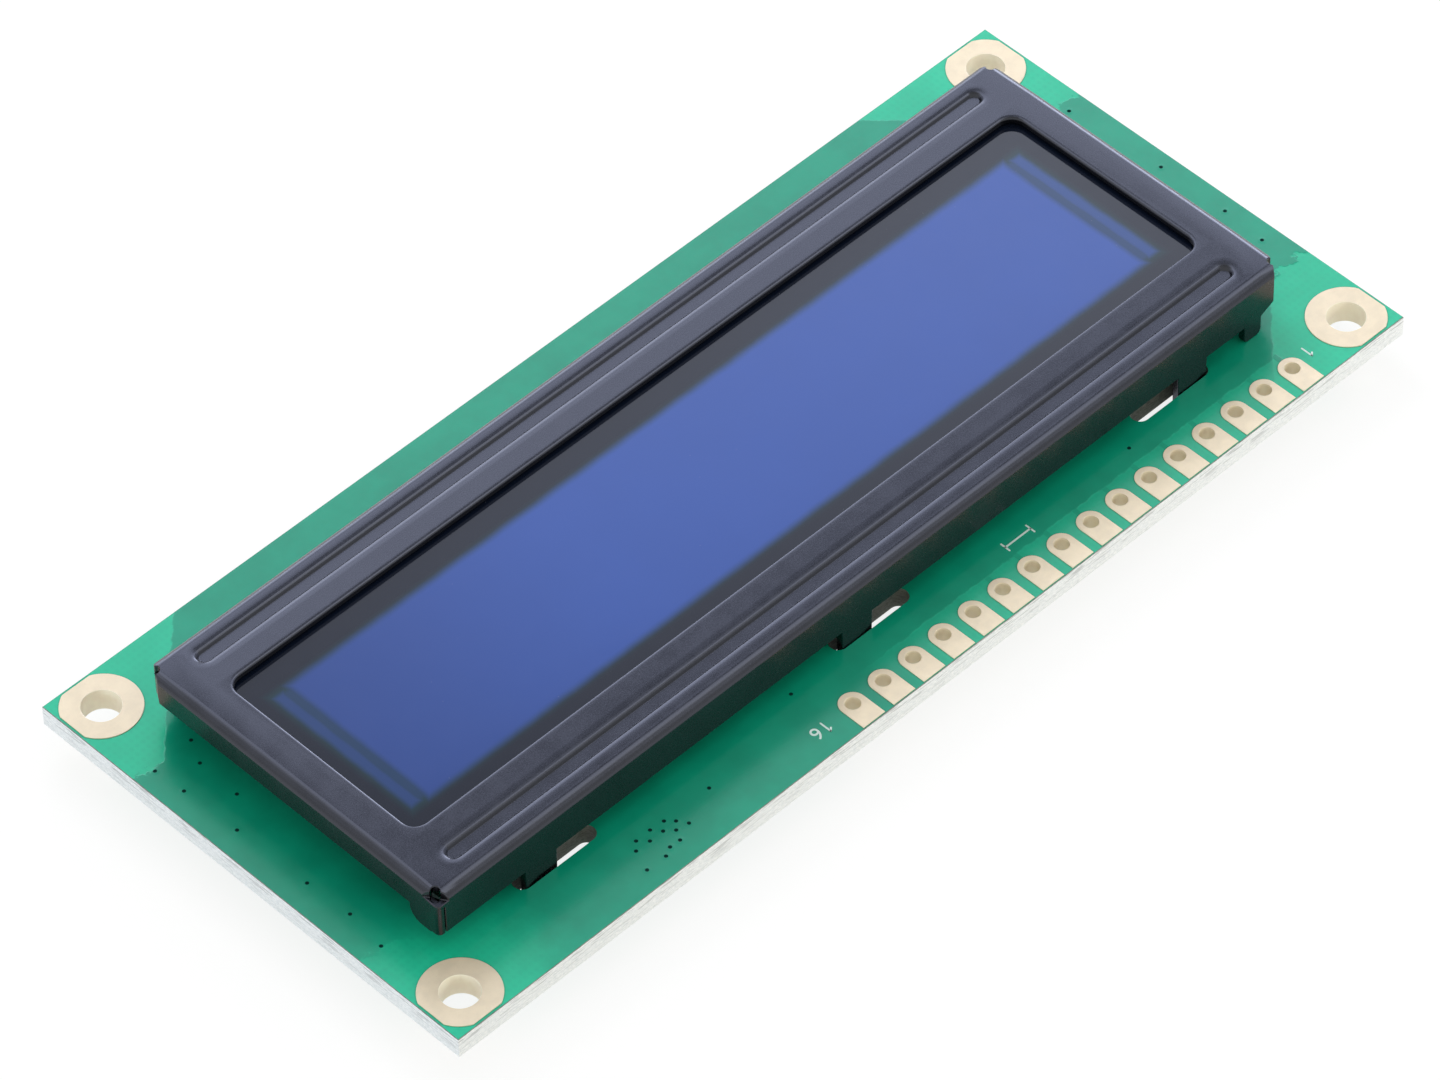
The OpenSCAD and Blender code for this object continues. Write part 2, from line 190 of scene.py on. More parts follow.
class ModuleColours(bpy.types.PropertyGroup):
    """Colours of the finishes"""

    mask_bare: FloatVectorProperty(
        name="Mask on laminate",
        description="Solder mask where there is no copper below",
        default=(0.013, 0.55, 0.325),
        **COLOUR,
    )
    mask_copper: FloatVectorProperty(
        name="Mask on copper",
        description="Solder mask over the copper areas",
        default=(0.004, 0.335, 0.206),
        **COLOUR,
    )
    laminate: FloatVectorProperty(
        name="Laminate", description="Cut edge of the board", default=(0.91, 0.94, 0.96), **COLOUR
    )
    plating: FloatVectorProperty(
        name="Plating", description="Plated pads and rings", default=(0.93, 0.79, 0.58), **COLOUR
    )
    bezel: FloatVectorProperty(
        name="Bezel", description="Satin bezel metal", default=(0.058, 0.0605, 0.073), **COLOUR
    )
    display_blue: FloatVectorProperty(
        name="Display", description="Pixel area, unlit", default=(0.035, 0.095, 0.41), **COLOUR
    )
    display_border: FloatVectorProperty(
        name="Display border",
        description="Film round the pixel area",
        default=(0.006, 0.010, 0.024),
        **COLOUR,
    )
    print_white: FloatVectorProperty(
        name="Print", description="Printed marks on the board", default=(0.80, 0.97, 0.93), **COLOUR
    )


def sizes(name):
    """A size from the panel, in millimetres."""
    return getattr(bpy.context.scene.oled_sizes, name) / MM


def colour(name):
    """A colour from the panel, with alpha."""
    return (*getattr(bpy.context.scene.oled_colours, name), 1)


# Modelling steps

# Vertices closer than this become one
MERGE = 0.0005

# Places within these distances count as the same, on large and on fine shapes
TOUCH = 0.01
CLOSE = 0.001

# A face faces an axis, and an edge runs along it, when this share of its direction does
FACING = 0.9
STRAIGHT = 0.99

# What a full rounding leaves of a side, so that its two edges stay apart
NEARLY = 0.002


def clear_selection():
    """Leaves edit mode and selects nothing."""
    if bpy.context.object and bpy.context.object.mode != "OBJECT":
        bpy.ops.object.mode_set(mode="OBJECT")
    bpy.ops.object.select_all(action="DESELECT")


def take(piece):
    """Makes a piece the only selected one, in object mode."""
    clear_selection()
    bpy.context.view_layer.objects.active = piece
    piece.select_set(True)


def apply_moves():
    """Writes the active piece's place, turn and scale into its mesh."""
    bpy.ops.object.transform_apply(location=True, rotation=True, scale=True)


def add_block(name, low, high):
    """A cube between two corners."""
    clear_selection()
    low, high = Vector(low), Vector(high)
    bpy.ops.mesh.primitive_cube_add(size=1, location=(low + high) / 2)
    block = bpy.context.object
    block.name = name
    block.scale = high - low
    apply_moves()
    return block


def add_rod(name, radius, at, low_z, high_z, sides):
    """An upright cylinder."""
    clear_selection()
    place = (at[0], at[1], (low_z + high_z) / 2)
    bpy.ops.mesh.primitive_cylinder_add(vertices=sides, radius=radius, depth=high_z - low_z, location=place)
    rod = bpy.context.object
    rod.name = name
    apply_moves()
    return rod


def open_faces(piece):
    """Opens a piece in edit mode with all its faces selected."""
    take(piece)
    bpy.ops.object.mode_set(mode="EDIT")
    bpy.ops.mesh.select_mode(type="FACE")
    bpy.ops.mesh.select_all(action="SELECT")


def draw_out(value):
    """Extrudes what is selected along a vector."""
    bpy.ops.mesh.extrude_region_move(TRANSFORM_OT_translate={"value": value})


def pick(piece, kind, test):
    """Opens a piece in edit mode and selects the vertices, edges or faces that pass a test."""
    take(piece)
    bpy.ops.object.mode_set(mode="EDIT")
    bpy.ops.mesh.select_mode(type=kind)
    bpy.ops.mesh.select_all(action="DESELECT")
    mesh = bmesh.from_edit_mesh(piece.data)
    mesh.normal_update()
    items = {"VERT": mesh.verts, "EDGE": mesh.edges, "FACE": mesh.faces}[kind]
    chosen = [item for item in items if test(item)]
    for item in chosen:
        item.select_set(True)
    mesh.select_flush_mode()
    bmesh.update_edit_mesh(piece.data)
    if not chosen:
        raise RuntimeError(f"nothing to select on {piece.name}")
    return chosen


def middle(edge):
    return (edge.verts[0].co + edge.verts[1].co) / 2


def runs_along(edge, axis):
    """Whether an edge is parallel to the axis with this number."""
    direction = (edge.verts[1].co - edge.verts[0].co).normalized()
    return abs(direction[axis]) > STRAIGHT


def upright(edge):
    return runs_along(edge, 2)


def round_edges(piece, test, radius, steps):
    """Bevels the edges that pass a test."""
    pick(piece, "EDGE", test)
    bpy.ops.mesh.bevel(offset=radius, segments=steps, affect="EDGES", clamp_overlap=False)
    bpy.ops.mesh.select_all(action="SELECT")
    bpy.ops.mesh.remove_doubles(threshold=MERGE)
    bpy.ops.object.mode_set(mode="OBJECT")


def slice_at(piece, cuts, **options):
    """Cuts a whole piece along planes, each given by a point and a normal."""
    take(piece)
    bpy.ops.object.mode_set(mode="EDIT")
    for point, normal in cuts:
        bpy.ops.mesh.select_all(action="SELECT")
        bpy.ops.mesh.bisect(plane_co=point, plane_no=normal, **options)
    bpy.ops.object.mode_set(mode="OBJECT")


def modify(piece, kind, **settings):
    """Adds a modifier and applies it."""
    take(piece)
    bpy.ops.object.modifier_add(type=kind)
    modifier = piece.modifiers[-1]
    for name, value in settings.items():
        setattr(modifier, name, value)
    bpy.ops.object.modifier_apply(modifier=modifier.name)


def carve(piece, tool, operation="DIFFERENCE"):
    """Cuts a tool shape out of a piece, or joins it on, and removes the tool."""
    modify(piece, "BOOLEAN", operation=operation, solver="EXACT", object=tool)
    bpy.data.objects.remove(tool)


def tidy(piece):
    """Merges doubles and turns all faces outwards."""
    take(piece)
    bpy.ops.object.mode_set(mode="EDIT")
    bpy.ops.mesh.select_all(action="SELECT")
    bpy.ops.mesh.remove_doubles(threshold=MERGE)
    bpy.ops.mesh.normals_make_consistent(inside=False)
    bpy.ops.object.mode_set(mode="OBJECT")


def join(name, pieces):
    """Makes one piece of several."""
    clear_selection()
    for piece in pieces:
        piece.select_set(True)
    bpy.context.view_layer.objects.active = pieces[0]
    if len(pieces) > 1:
        bpy.ops.object.join()
    pieces[0].name = name
    return pieces[0]


def copy_at(piece, x, y, turn=0.0, flip=(1, 1, 1)):
    """A copy with its own mesh, moved, turned about Z and flipped."""
    take(piece)
    bpy.ops.object.duplicate(linked=False)
    made = bpy.context.object
    turned = Matrix.Rotation(math.radians(turn), 4, "Z") @ Matrix.Diagonal((*flip, 1))
    made.matrix_world = Matrix.Translation((x, y, 0)) @ turned
    apply_moves()
    return made


def copy_on_faces(piece, places):
    """Copies of a flat part on the front face and, turned over, on the rear face; the part is removed."""
    made = []
    for x, y in places:
        front = copy_at(piece, x, y)
        front.data.transform(Matrix.Translation((0, 0, BOARD_HIGH.z)))
        made += [front, copy_at(piece, x, y, flip=(1, 1, -1))]
    bpy.data.objects.remove(piece)
    return made


def hang_below(piece, at=(0, 0)):
    """Turns a part that stands on z = 0 over, so that it hangs below the board, and moves it there."""
    take(piece)
    piece.matrix_world = Matrix.Rotation(math.pi, 4, "X")
    apply_moves()
    piece.data.transform(Matrix.Translation((at[0], at[1], 0)))


def soften(piece, width, steps=2, angle=40):
    """Rounds every sharp edge a little."""
    modify(
        piece,
        "BEVEL",
        width=width,
        segments=steps,
        limit_method="ANGLE",
        angle_limit=math.radians(angle),
        use_clamp_overlap=True,
        miter_outer="MITER_ARC",
    )


# Finishes by name, filled in main()
FINISHES = {}


def paint_faces(piece, finishes, choose):
    """Gives each face the finish that choose(face) names."""
    for finish in finishes:
        piece.data.materials.append(FINISHES[finish])
    for face in piece.data.polygons:
        face.material_index = finishes.index(choose(face))


def settle(piece, finish, slot, *nodes, smooth=40):
    """Smooths a piece, scales it to metres, gives it a finish unless painted, and sets it on the module."""
    take(piece)
    bpy.ops.object.shade_smooth_by_angle(angle=math.radians(smooth))
    modify(piece, "WEIGHTED_NORMAL", keep_sharp=True, weight=100, thresh=0.0001)
    piece.scale = (MM, MM, MM)
    apply_moves()
    if finish:
        piece.data.materials.append(FINISHES[finish])
    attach(piece, "root")
    if nodes:
        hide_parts(*nodes)


# Finishes


class Nodes:
    """A node tree; each step adds one node and returns its output."""

    def __init__(self, tree):
        self.tree = tree

    def put(self, socket, value):
        """Links an output to a socket, or sets the socket to a plain value."""
        if isinstance(value, bpy.types.NodeSocket):
            self.tree.links.new(value, socket)
        else:
            socket.default_value = value

    def fill(self, sockets, values):
        for socket, value in zip(sockets, values):
            self.put(socket, value)

    def math(self, operation, first, second=0.0, third=0.0):
        node = self.tree.nodes.new("ShaderNodeMath")
        node.operation = operation
        self.fill(node.inputs, (first, second, third))
        return node.outputs[0]

    def plus(self, first, second):
        return self.math("ADD", first, second)

    def minus(self, first, second):
        return self.math("SUBTRACT", first, second)

    def times(self, first, second):
        return self.math("MULTIPLY", first, second)

    def larger(self, first, second):
        return self.math("MAXIMUM", first, second)

    def between(self, value, low, high, to_low=0.0, to_high=1.0):
        """Maps low..high softly to to_low..to_high, and holds it outside."""
        node = self.tree.nodes.new("ShaderNodeMapRange")
        node.interpolation_type = "SMOOTHSTEP"
        self.fill(node.inputs, (value, low, high, to_low, to_high))
        return node.outputs[0]

    def blend(self, share, first, second):
        """Blends two numbers."""
        node = self.tree.nodes.new("ShaderNodeMix")
        self.fill((node.inputs["Factor"], node.inputs["A"], node.inputs["B"]), (share, first, second))
        return node.outputs["Result"]

    def mix(self, share, first, second):
        """Blends two colours, whose sockets are the seventh and eighth of the node."""
        node = self.tree.nodes.new("ShaderNodeMix")
        node.data_type = "RGBA"
        self.fill((node.inputs[0], node.inputs[6], node.inputs[7]), (share, first, second))
        return node.outputs[2]


class Finish(Nodes):
    """A node material on object coordinates, in millimetres."""

    def __init__(self, name):
        self.material = bpy.data.materials.new(name)
        self.material.use_nodes = True
        super().__init__(self.material.node_tree)
        self.shader = self.tree.nodes["Principled BSDF"]
        self.at = self.tree.nodes.new("ShaderNodeTexCoord").outputs["Object"]
        self.at = self.stretched((1 / MM, 1 / MM, 1 / MM))

    def set(self, **values):
        """Sets or links the shader's sockets, by name with _ for spaces."""
        for name, value in values.items():
            self.put(self.shader.inputs[name.replace("_", " ")], value)
        return self.material

    def axes(self):
        node = self.tree.nodes.new("ShaderNodeSeparateXYZ")
        self.put(node.inputs[0], self.at)
        return node.outputs["X"], node.outputs["Y"], node.outputs["Z"]

    def stretched(self, scale):
        node = self.tree.nodes.new("ShaderNodeMapping")
        node.inputs["Scale"].default_value = scale
        self.put(node.inputs["Vector"], self.at)
        return node.outputs["Vector"]

    def noise(self, scale, detail=2.0, roughness=0.5, vector=None):
        node = self.tree.nodes.new("ShaderNodeTexNoise")
        self.put(node.inputs["Vector"], vector or self.at)
        node.inputs["Scale"].default_value = scale
        node.inputs["Detail"].default_value = detail
        node.inputs["Roughness"].default_value = roughness
        return node.outputs[0]

    def cells(self, scale, vector=None):
        node = self.tree.nodes.new("ShaderNodeTexVoronoi")
        self.put(node.inputs["Vector"], vector or self.at)
        node.inputs["Scale"].default_value = scale
        return node.outputs["Distance"]

    def bump(self, height, distance, strength):
        """Bump from a height of 0 to 1; distance is in metres."""
        node = self.tree.nodes.new("ShaderNodeBump")
        node.inputs["Strength"].default_value = strength
        node.inputs["Distance"].default_value = distance
        self.put(node.inputs["Height"], height)
        return node.outputs[0]

    def spread(self, noise, to_low=0.0, to_high=1.0):
        """Spreads the usual range of a noise over to_low..to_high."""
        return self.between(noise, 0.3, 0.7, to_low, to_high)

    def absolute(self, value):
        return self.math("ABSOLUTE", value)

    def there_and_back(self, value, length):
        """Rises from 0 to a length and falls back, over and over."""
        return self.math("PINGPONG", value, length)

    def from_box(self, x, y, half_x, half_y):
        """Signed distance to a box, negative inside."""
        off_x = self.minus(self.absolute(x), half_x)
        off_y = self.minus(self.absolute(y), half_y)
        return self.larger(off_x, off_y)

    def length(self, x, y):
        return self.math("SQRT", self.math("MULTIPLY_ADD", y, y, self.times(x, x)))


def tint(rgb, factor):
    """A colour made darker or lighter, with alpha."""
    return (*(min(1.0, channel * factor) for channel in rgb[:3]), 1)


def mask_finish():
    """Glossy green solder mask, darker over copper, with openings round the pads."""
    f = Finish("mask_green")
    x, y, z = f.axes()
    ragged = f.spread(f.noise(1.1, 3, 0.6), -0.35, 0.35)
    # Copper stops at a slanted line beside the mounting holes, and at one hole it only fades
    in_x = f.minus(HOLE_X, f.absolute(x))
    in_y = f.minus(HOLE_Y, f.absolute(y))
    hole = f.length(in_x, in_y)
    slanted = f.plus(f.plus(in_x, in_y), f.times(ragged, 0.3))
    slanted = f.plus(slanted, f.between(x, -1.0, 1.0, -0.2, 0.75))
    past_side = f.between(f.plus(in_y, ragged), *COPPER_SIDE)
    clear_of_hole = f.larger(f.between(slanted, *COPPER_SLANT), past_side)
    faded = f.times(f.between(x, 10.0, 20.0), f.between(y, 6.0, 12.0))
    fade = f.between(f.plus(hole, ragged), *COPPER_FADE)
    fade = f.minus(fade, clear_of_hole)
    clear_of_hole = f.math("MULTIPLY_ADD", faded, fade, clear_of_hole)
    below_pins = f.between(f.plus(y, f.times(ragged, 0.25)), *COPPER_ROW, 0.35, 1.0)
    below_pins = f.larger(below_pins, f.between(x, -6.0, 6.0))
    copper = f.times(clear_of_hole, below_pins)
    # Traces that run from the pads to the middle of the board
    pin_x = f.there_and_back(f.minus(x, PIN_AT[0][0]), PIN_PITCH / 2)
    row_x = f.absolute(f.minus(x, ROW_X))
    trace = f.times(f.between(pin_x, *TRACE_WIDTH), f.between(y, 14.5, 14.55))
    trace = f.times(trace, f.between(row_x, 19.6, 19.4))
    trace = f.times(trace, f.between(x, 2.0, -8.0))
    copper = f.larger(copper, f.times(trace, 0.7))
    # Fine parallel traces on the rear, from the controller to the panel
    rear = f.between(z, 0.5, 0.3)
    bus = f.between(f.there_and_back(x, 0.3), 0.13, 0.17)
    bus_zone = f.between(f.from_box(f.plus(x, 12), f.plus(y, 9.5), 11.5, 4.2), 0.1, -0.1)
    copper_rear = f.larger(f.minus(copper, f.times(bus, bus_zone)), 0.0)
    copper = f.plus(copper, f.times(rear, f.minus(copper_rear, copper)))
    cloud = f.spread(f.noise(0.35, 3, 0.55))
    weave = f.times(f.there_and_back(x, 0.22), f.there_and_back(y, 0.26))
    bare = f.mix(cloud, colour("mask_bare"), tint(colour("mask_bare"), 1.10))
    bare = f.mix(f.between(weave, 0.0, 0.04, 0.0, 0.25), bare, tint(colour("mask_bare"), 0.86))
    over = f.mix(cloud, colour("mask_copper"), tint(colour("mask_copper"), 1.14))
    green = f.mix(copper, bare, over)
    # Dark line where the mask stops round a ring or pad
    pad_y = f.larger(f.minus(ROW_Y, y), 0.0)
    pad_gap = f.minus(f.length(pin_x, pad_y), sizes("pad_width") / 2)
    pad_line = f.times(f.between(pad_gap, 0.10, 0.04), f.between(row_x, 20.4, 20.3))
    ring_line = f.between(f.minus(hole, sizes("ring") / 2), 0.10, 0.04)
    line = f.times(f.larger(pad_line, ring_line), 0.3)
    green = f.mix(line, green, (0.02, 0.11, 0.06, 1))
    peel = f.noise(1.6, 3, 0.5)
    grain = f.noise(14, 2, 0.5)
    height = f.plus(f.times(copper, 0.6), f.times(peel, 0.25))
    height = f.plus(height, f.times(grain, 0.05))
    rough = f.between(f.noise(3, 3), 0.2, 0.8, 0.16, 0.26)
    return f.set(Base_Color=green, Roughness=rough, IOR=1.46, Normal=f.bump(height, 0.00002, 0.6))


def laminate_finish():
    """Cut glass laminate: pale, speckled, with faint layers."""
    f = Finish("laminate_edge")
    _, _, z = f.axes()
    speck = f.noise(5, 4, 0.7, f.stretched((0.8, 0.8, 2.2)))
    chips = f.cells(2.6, f.stretched((1, 1, 2.5)))
    layer = f.noise(1, 2, 0.5, f.stretched((0.5, 0.5, 7)))
    base = colour("laminate")
    pale = f.mix(f.between(speck, 0.35, 0.68), tint(base, 0.84), tint(base, 1.1))
    pale = f.mix(f.between(chips, 0.12, 0.02, 0.0, 0.5), pale, (0.42, 0.42, 0.41, 1))
    # Grey fibre streaks, mostly in the upper half; this weighting is painted shade, keeping the lower half
    # paler where the floor lights it
    streak = f.times(f.between(layer, 0.52, 0.62), f.between(z, 0.3, 1.2, 0.15, 0.6))
    pale = f.mix(streak, pale, (0.40, 0.41, 0.41, 1))
    height = f.plus(speck, f.times(layer, 0.5))
    rough = f.between(speck, 0.2, 0.8, 0.5, 0.75)
    return f.set(Base_Color=pale, Roughness=rough, Normal=f.bump(height, 0.00004, 0.7))


def shaded_slot_finish():
    """Routed slot wall: the laminate painted dark grey as painted shade under the bezel, in fine streaks."""
    f = Finish("shaded_slot_wall")
    streak = f.noise(3, 4, 0.7, f.stretched((1, 1, 3)))
    tone = f.mix(f.between(streak, 0.35, 0.65), (0.13, 0.135, 0.12, 1), (0.27, 0.275, 0.25, 1))
    rough = f.between(streak, 0.2, 0.8, 0.55, 0.8)
    return f.set(Base_Color=tone, Roughness=rough, Normal=f.bump(streak, 0.00004, 0.6))


def plating_finish(name, base):
    """Satin gold plating with small scuffs."""
    f = Finish(name)
    fine = f.noise(9, 3, 0.6)
    cloud = f.noise(0.9, 3, 0.6)
    gold = f.mix(f.spread(cloud), tint(base, 0.95), tint(base, 1.04))
    gold = f.mix(f.between(fine, 0.62, 0.78, 0.0, 0.5), gold, tint(base, 0.84))
    rough = f.between(fine, 0.25, 0.75, 0.34, 0.48)
    return f.set(Base_Color=gold, Metallic=0.2, Roughness=rough, Normal=f.bump(fine, 0.000006, 0.5))


def bezel_finish():
    """Satin darkened metal with a fine speckled grain."""
    f = Finish("satin_dark_metal")
    grain = f.noise(11, 3, 0.65)
    coarse = f.noise(0.6, 4, 0.6)
    speck = f.noise(6, 4, 0.7)
    base = colour("bezel")
    dark = f.mix(f.spread(coarse), tint(base, 0.96), tint(base, 1.04))
    dark = f.mix(f.between(grain, 0.35, 0.7, 0.0, 0.45), dark, tint(base, 1.22))
    dark = f.mix(f.between(speck, 0.64, 0.78, 0.0, 0.5), dark, tint(base, 1.5))
    rough = f.plus(f.between(grain, 0.25, 0.75, 0.23, 0.31), f.spread(coarse, -0.02, 0.03))
    return f.set(Base_Color=dark, Metallic=1.0, Roughness=rough, Normal=f.bump(grain, 0.000006, 0.3))


def display_finish():
    """Glossy film; the unlit pixel area shows blue through it, with a thin stripe beyond each end."""
    f = Finish("display_film")
    x, y, _ = f.axes()
    # Distances are from the middle of the pixel area
    x = f.minus(x, 0.87)
    y = f.minus(y, 0.14)
    uneven = f.spread(f.noise(0.5, 3, 0.5), -0.03, 0.03)
    area = f.plus(f.from_box(x, y, 30.02, 6.0), uneven)
    stripe_x = f.minus(f.absolute(x), 30.98)
    stripe = f.plus(f.from_box(stripe_x, y, 0.36, 5.9), uneven)
    whole = f.from_box(x, y, 31.3, 6.0)
    fringe = f.between(whole, 0.75, -0.1)
    lit = f.larger(f.between(area, 0.48, -0.32), f.times(f.between(stripe, 0.26, -0.22), 0.62))
    lit = f.larger(lit, f.times(f.between(whole, 0.1, -0.4), 0.3))
    deep = colour("display_blue")
    blue = f.mix(f.spread(f.noise(0.16, 3, 0.5)), tint(deep, 0.985), tint(deep, 1.015))
    blue = f.mix(f.between(x, 8, 32, 0.0, 0.72), blue, tint(deep, 0.6))
    film = f.mix(fringe, colour("display_border"), (0.006, 0.036, 0.052, 1))
    film = f.mix(lit, film, blue)
    dust = f.cells(0.9)
    film = f.mix(f.between(dust, 0.03, 0.015, 0.0, 0.25), film, (0.4, 0.42, 0.46, 1))
    rough = f.spread(f.noise(0.8, 3), 0.05, 0.09)
    wave = f.noise(0.25, 2)
    return f.set(Base_Color=film, Roughness=rough, IOR=1.455, Normal=f.bump(wave, 0.00002, 0.08))


def glass_finish():
    """Float glass with a ground edge tint, painted dark as shade where it lies under the bezel."""
    f = Finish("panel_glass")
    haze = f.noise(1.5, 3)
    tone = f.mix(f.spread(haze), (0.03, 0.07, 0.06, 1), (0.05, 0.10, 0.085, 1))
    rough = f.between(haze, 0.2, 0.8, 0.06, 0.16)
    return f.set(Base_Color=tone, Roughness=rough, IOR=1.52, Transmission_Weight=0.25)


def film_finish(name, first, second, rough_low, rough_high, metallic=0.0, scale=2.0, ior=1.5):
    """A plain film or sheet whose tone and gloss wander a little."""
    f = Finish(name)
    cloud = f.noise(scale, 4, 0.6)
    fine = f.noise(scale * 9, 2, 0.5)
    tone = f.mix(f.spread(cloud), first, second)
    rough = f.between(fine, 0.25, 0.75, rough_low, rough_high)
    return f.set(
        Base_Color=tone, Metallic=metallic, Roughness=rough, IOR=ior, Normal=f.bump(fine, 0.000008, 0.4)
    )


def flex_finish():
    """Amber flex film with copper lines along its length."""
    f = Finish("flex_film")
    x, _, _ = f.axes()
    line = f.between(f.there_and_back(x, 0.4), 0.16, 0.2)
    amber = f.mix(f.spread(f.noise(1.2, 3)), (0.42, 0.16, 0.02, 1), (0.52, 0.22, 0.03, 1))
    tone = f.mix(line, (0.55, 0.27, 0.08, 1), amber)
    rough = f.between(line, 0, 1, 0.22, 0.3)
    return f.set(Base_Color=tone, Roughness=rough, Normal=f.bump(line, 0.00001, 0.5))


def moulded_finish(name, base, lift=1.5):
    """Moulded black body: matt, with fine sparks of filler."""
    f = Finish(name)
    spark = f.noise(16, 3, 0.7)
    cloud = f.noise(1.4, 3)
    tone = f.mix(f.spread(cloud), base, tint(base, lift))
    tone = f.mix(f.between(spark, 0.66, 0.8, 0.0, 0.6), tone, tint(base, 3.5))
    rough = f.between(spark, 0.2, 0.8, 0.45, 0.65)
    return f.set(Base_Color=tone, Roughness=rough, Normal=f.bump(spark, 0.00001, 0.5))


def epoxy_finish():
    """Black potting compound, glossy with soft waves."""
    f = Finish("epoxy_black")
    wave = f.noise(0.5, 3, 0.5)
    pit = f.cells(1.8)
    tone = f.mix(f.spread(wave), (0.010, 0.010, 0.011, 1), (0.020, 0.020, 0.021, 1))
    height = f.plus(wave, f.between(pit, 0.10, 0.03, 0.0, -0.35))
    rough = f.between(f.noise(2.5, 3), 0.25, 0.75, 0.22, 0.4)
    return f.set(Base_Color=tone, Roughness=rough, Normal=f.bump(height, 0.00008, 0.5))


def diode_finish():
    """Moulded black body with a pale band at one end."""
    f = Finish("diode_body")
    x, _, z = f.axes()
    band = f.times(f.between(x, 17.69, 17.75), f.between(x, 18.11, 18.05))
    band = f.times(band, f.between(z, -1.0, -1.06))
    spark = f.noise(16, 3, 0.7)
    tone = f.mix(f.between(spark, 0.4, 0.75), (0.016, 0.016, 0.017, 1), (0.04, 0.04, 0.042, 1))
    tone = f.mix(band, tone, (0.55, 0.55, 0.53, 1))
    rough = f.between(spark, 0.2, 0.8, 0.45, 0.65)
    return f.set(Base_Color=tone, Roughness=rough, Normal=f.bump(spark, 0.00001, 0.5))


def make_finishes():
    """All finishes, once, by name."""
    gold = colour("plating")
    white = colour("print_white")
    return {
        "mask": mask_finish(),
        "laminate": laminate_finish(),
        "slot": shaded_slot_finish(),
        "plating": plating_finish("gold_plating", gold),
        # Rings and pads share one gold; the rings take it painted a tenth darker, as painted shade
        "shaded_ring_plating": plating_finish("shaded_ring_plating", tint(gold, 0.9)),
        # Hole walls take the gold painted paler, as painted light reaching into the holes
        "lit_bore_plating": plating_finish("lit_bore_plating", (1.0, 0.90, 0.74, 1)),
        "bezel": bezel_finish(),
        "display": display_finish(),
        "glass": glass_finish(),
        "emitter": film_finish("emitter_layers", (0.03, 0.07, 0.25, 1), (0.04, 0.10, 0.33, 1), 0.15, 0.3),
        "drying": film_finish("drying_sheet", (0.74, 0.74, 0.70, 1), (0.82, 0.82, 0.78, 1), 0.7, 0.9),
        "flex": flex_finish(),
        "spacer": moulded_finish("spacer_plastic", (0.016, 0.016, 0.018, 1)),
        "epoxy": epoxy_finish(),
        "ferrite": moulded_finish("ferrite_grey", (0.055, 0.055, 0.058, 1), 1.3),
        "tinned": film_finish(
            "tinned_metal",
            (0.62, 0.62, 0.60, 1),
            (0.74, 0.74, 0.72, 1),
            0.25,
            0.45,
            metallic=1.0,
            scale=3.0,
        ),
        "part": moulded_finish("part_plastic", (0.018, 0.018, 0.019, 1)),
        "diode": diode_finish(),
        "capacitor": moulded_finish("capacitor_ceramic", (0.33, 0.22, 0.13, 1), 1.15),
        "resistor": moulded_finish("resistor_ceramic", (0.022, 0.022, 0.025, 1)),
        "print": film_finish("print_white", white, tint(white, 0.92), 0.45, 0.6),
        "via": film_finish(
            "via_hole", (0.003, 0.040, 0.034, 1), (0.002, 0.026, 0.024, 1), 0.6, 0.8, ior=1.1
        ),
    }


# Pieces


def slot_tool(x, y):
    """Slot with round ends."""
    half_l, half_w = SLOT_SIZE[0] / 2, SLOT_SIZE[1] / 2
    low = (x - half_l, y - half_w, DRILL_Z[0])
    tool = add_block("slot_tool", low, (x + half_l, y + half_w, BOARD_HIGH.z + 1))
    round_edges(tool, upright, half_w - NEARLY, 8)
    return tool


class OLED_OT_board(bpy.types.Operator):
    """Board with drilled holes, tab slots and a broken edge"""

    bl_idname = "oled_module.board"
    bl_label = "Board"

    def execute(self, context):
        board = add_block("board_laminate", BOARD_LOW, BOARD_HIGH)
        edge_break = 0.04
        round_edges(board, lambda edge: not upright(edge), edge_break, 1)
        for sign_x, sign_y in CORNERS:
            at = (sign_x * HOLE_X, sign_y * HOLE_Y)
            carve(board, add_rod("drill", sizes("mounting_hole") / 2 + BARREL, at, *DRILL_Z, 64))
        for at in PIN_AT:
            carve(board, add_rod("drill", sizes("pin_hole") / 2, at, *DRILL_Z, 32))
        for side in (-1, 1):
            for x in SLOT_X:
                carve(board, slot_tool(BEZEL_X + side * x, BEZEL_Y + side * SLOT_Y))
        tidy(board)
        bore = sizes("pin_hole") / 2 + 0.05

        def finish_of(face):
            at = face.center
            if abs(face.normal.z) > FACING:
                return "mask"
            # The broken edges are neither flat nor upright
            if abs(face.normal.z) > 0.3:
                return "slot"
            # Pin hole walls take the gold painted paler, as painted light inside the holes
            if any(math.hypot(at.x - x, at.y - y) < bore for x, y in PIN_AT):
                return "lit_bore_plating"
            # Slot walls take the laminate painted dark, as painted shade under the bezel
            if abs(at.x) < SLOT_ZONE[0] and abs(at.y) < SLOT_ZONE[1]:
                return "slot"
            return "laminate"

        paint_faces(board, ("mask", "laminate", "lit_bore_plating", "slot"), finish_of)
        settle(board, None, "board_mask", "board", smooth=30)
        return {"FINISHED"}


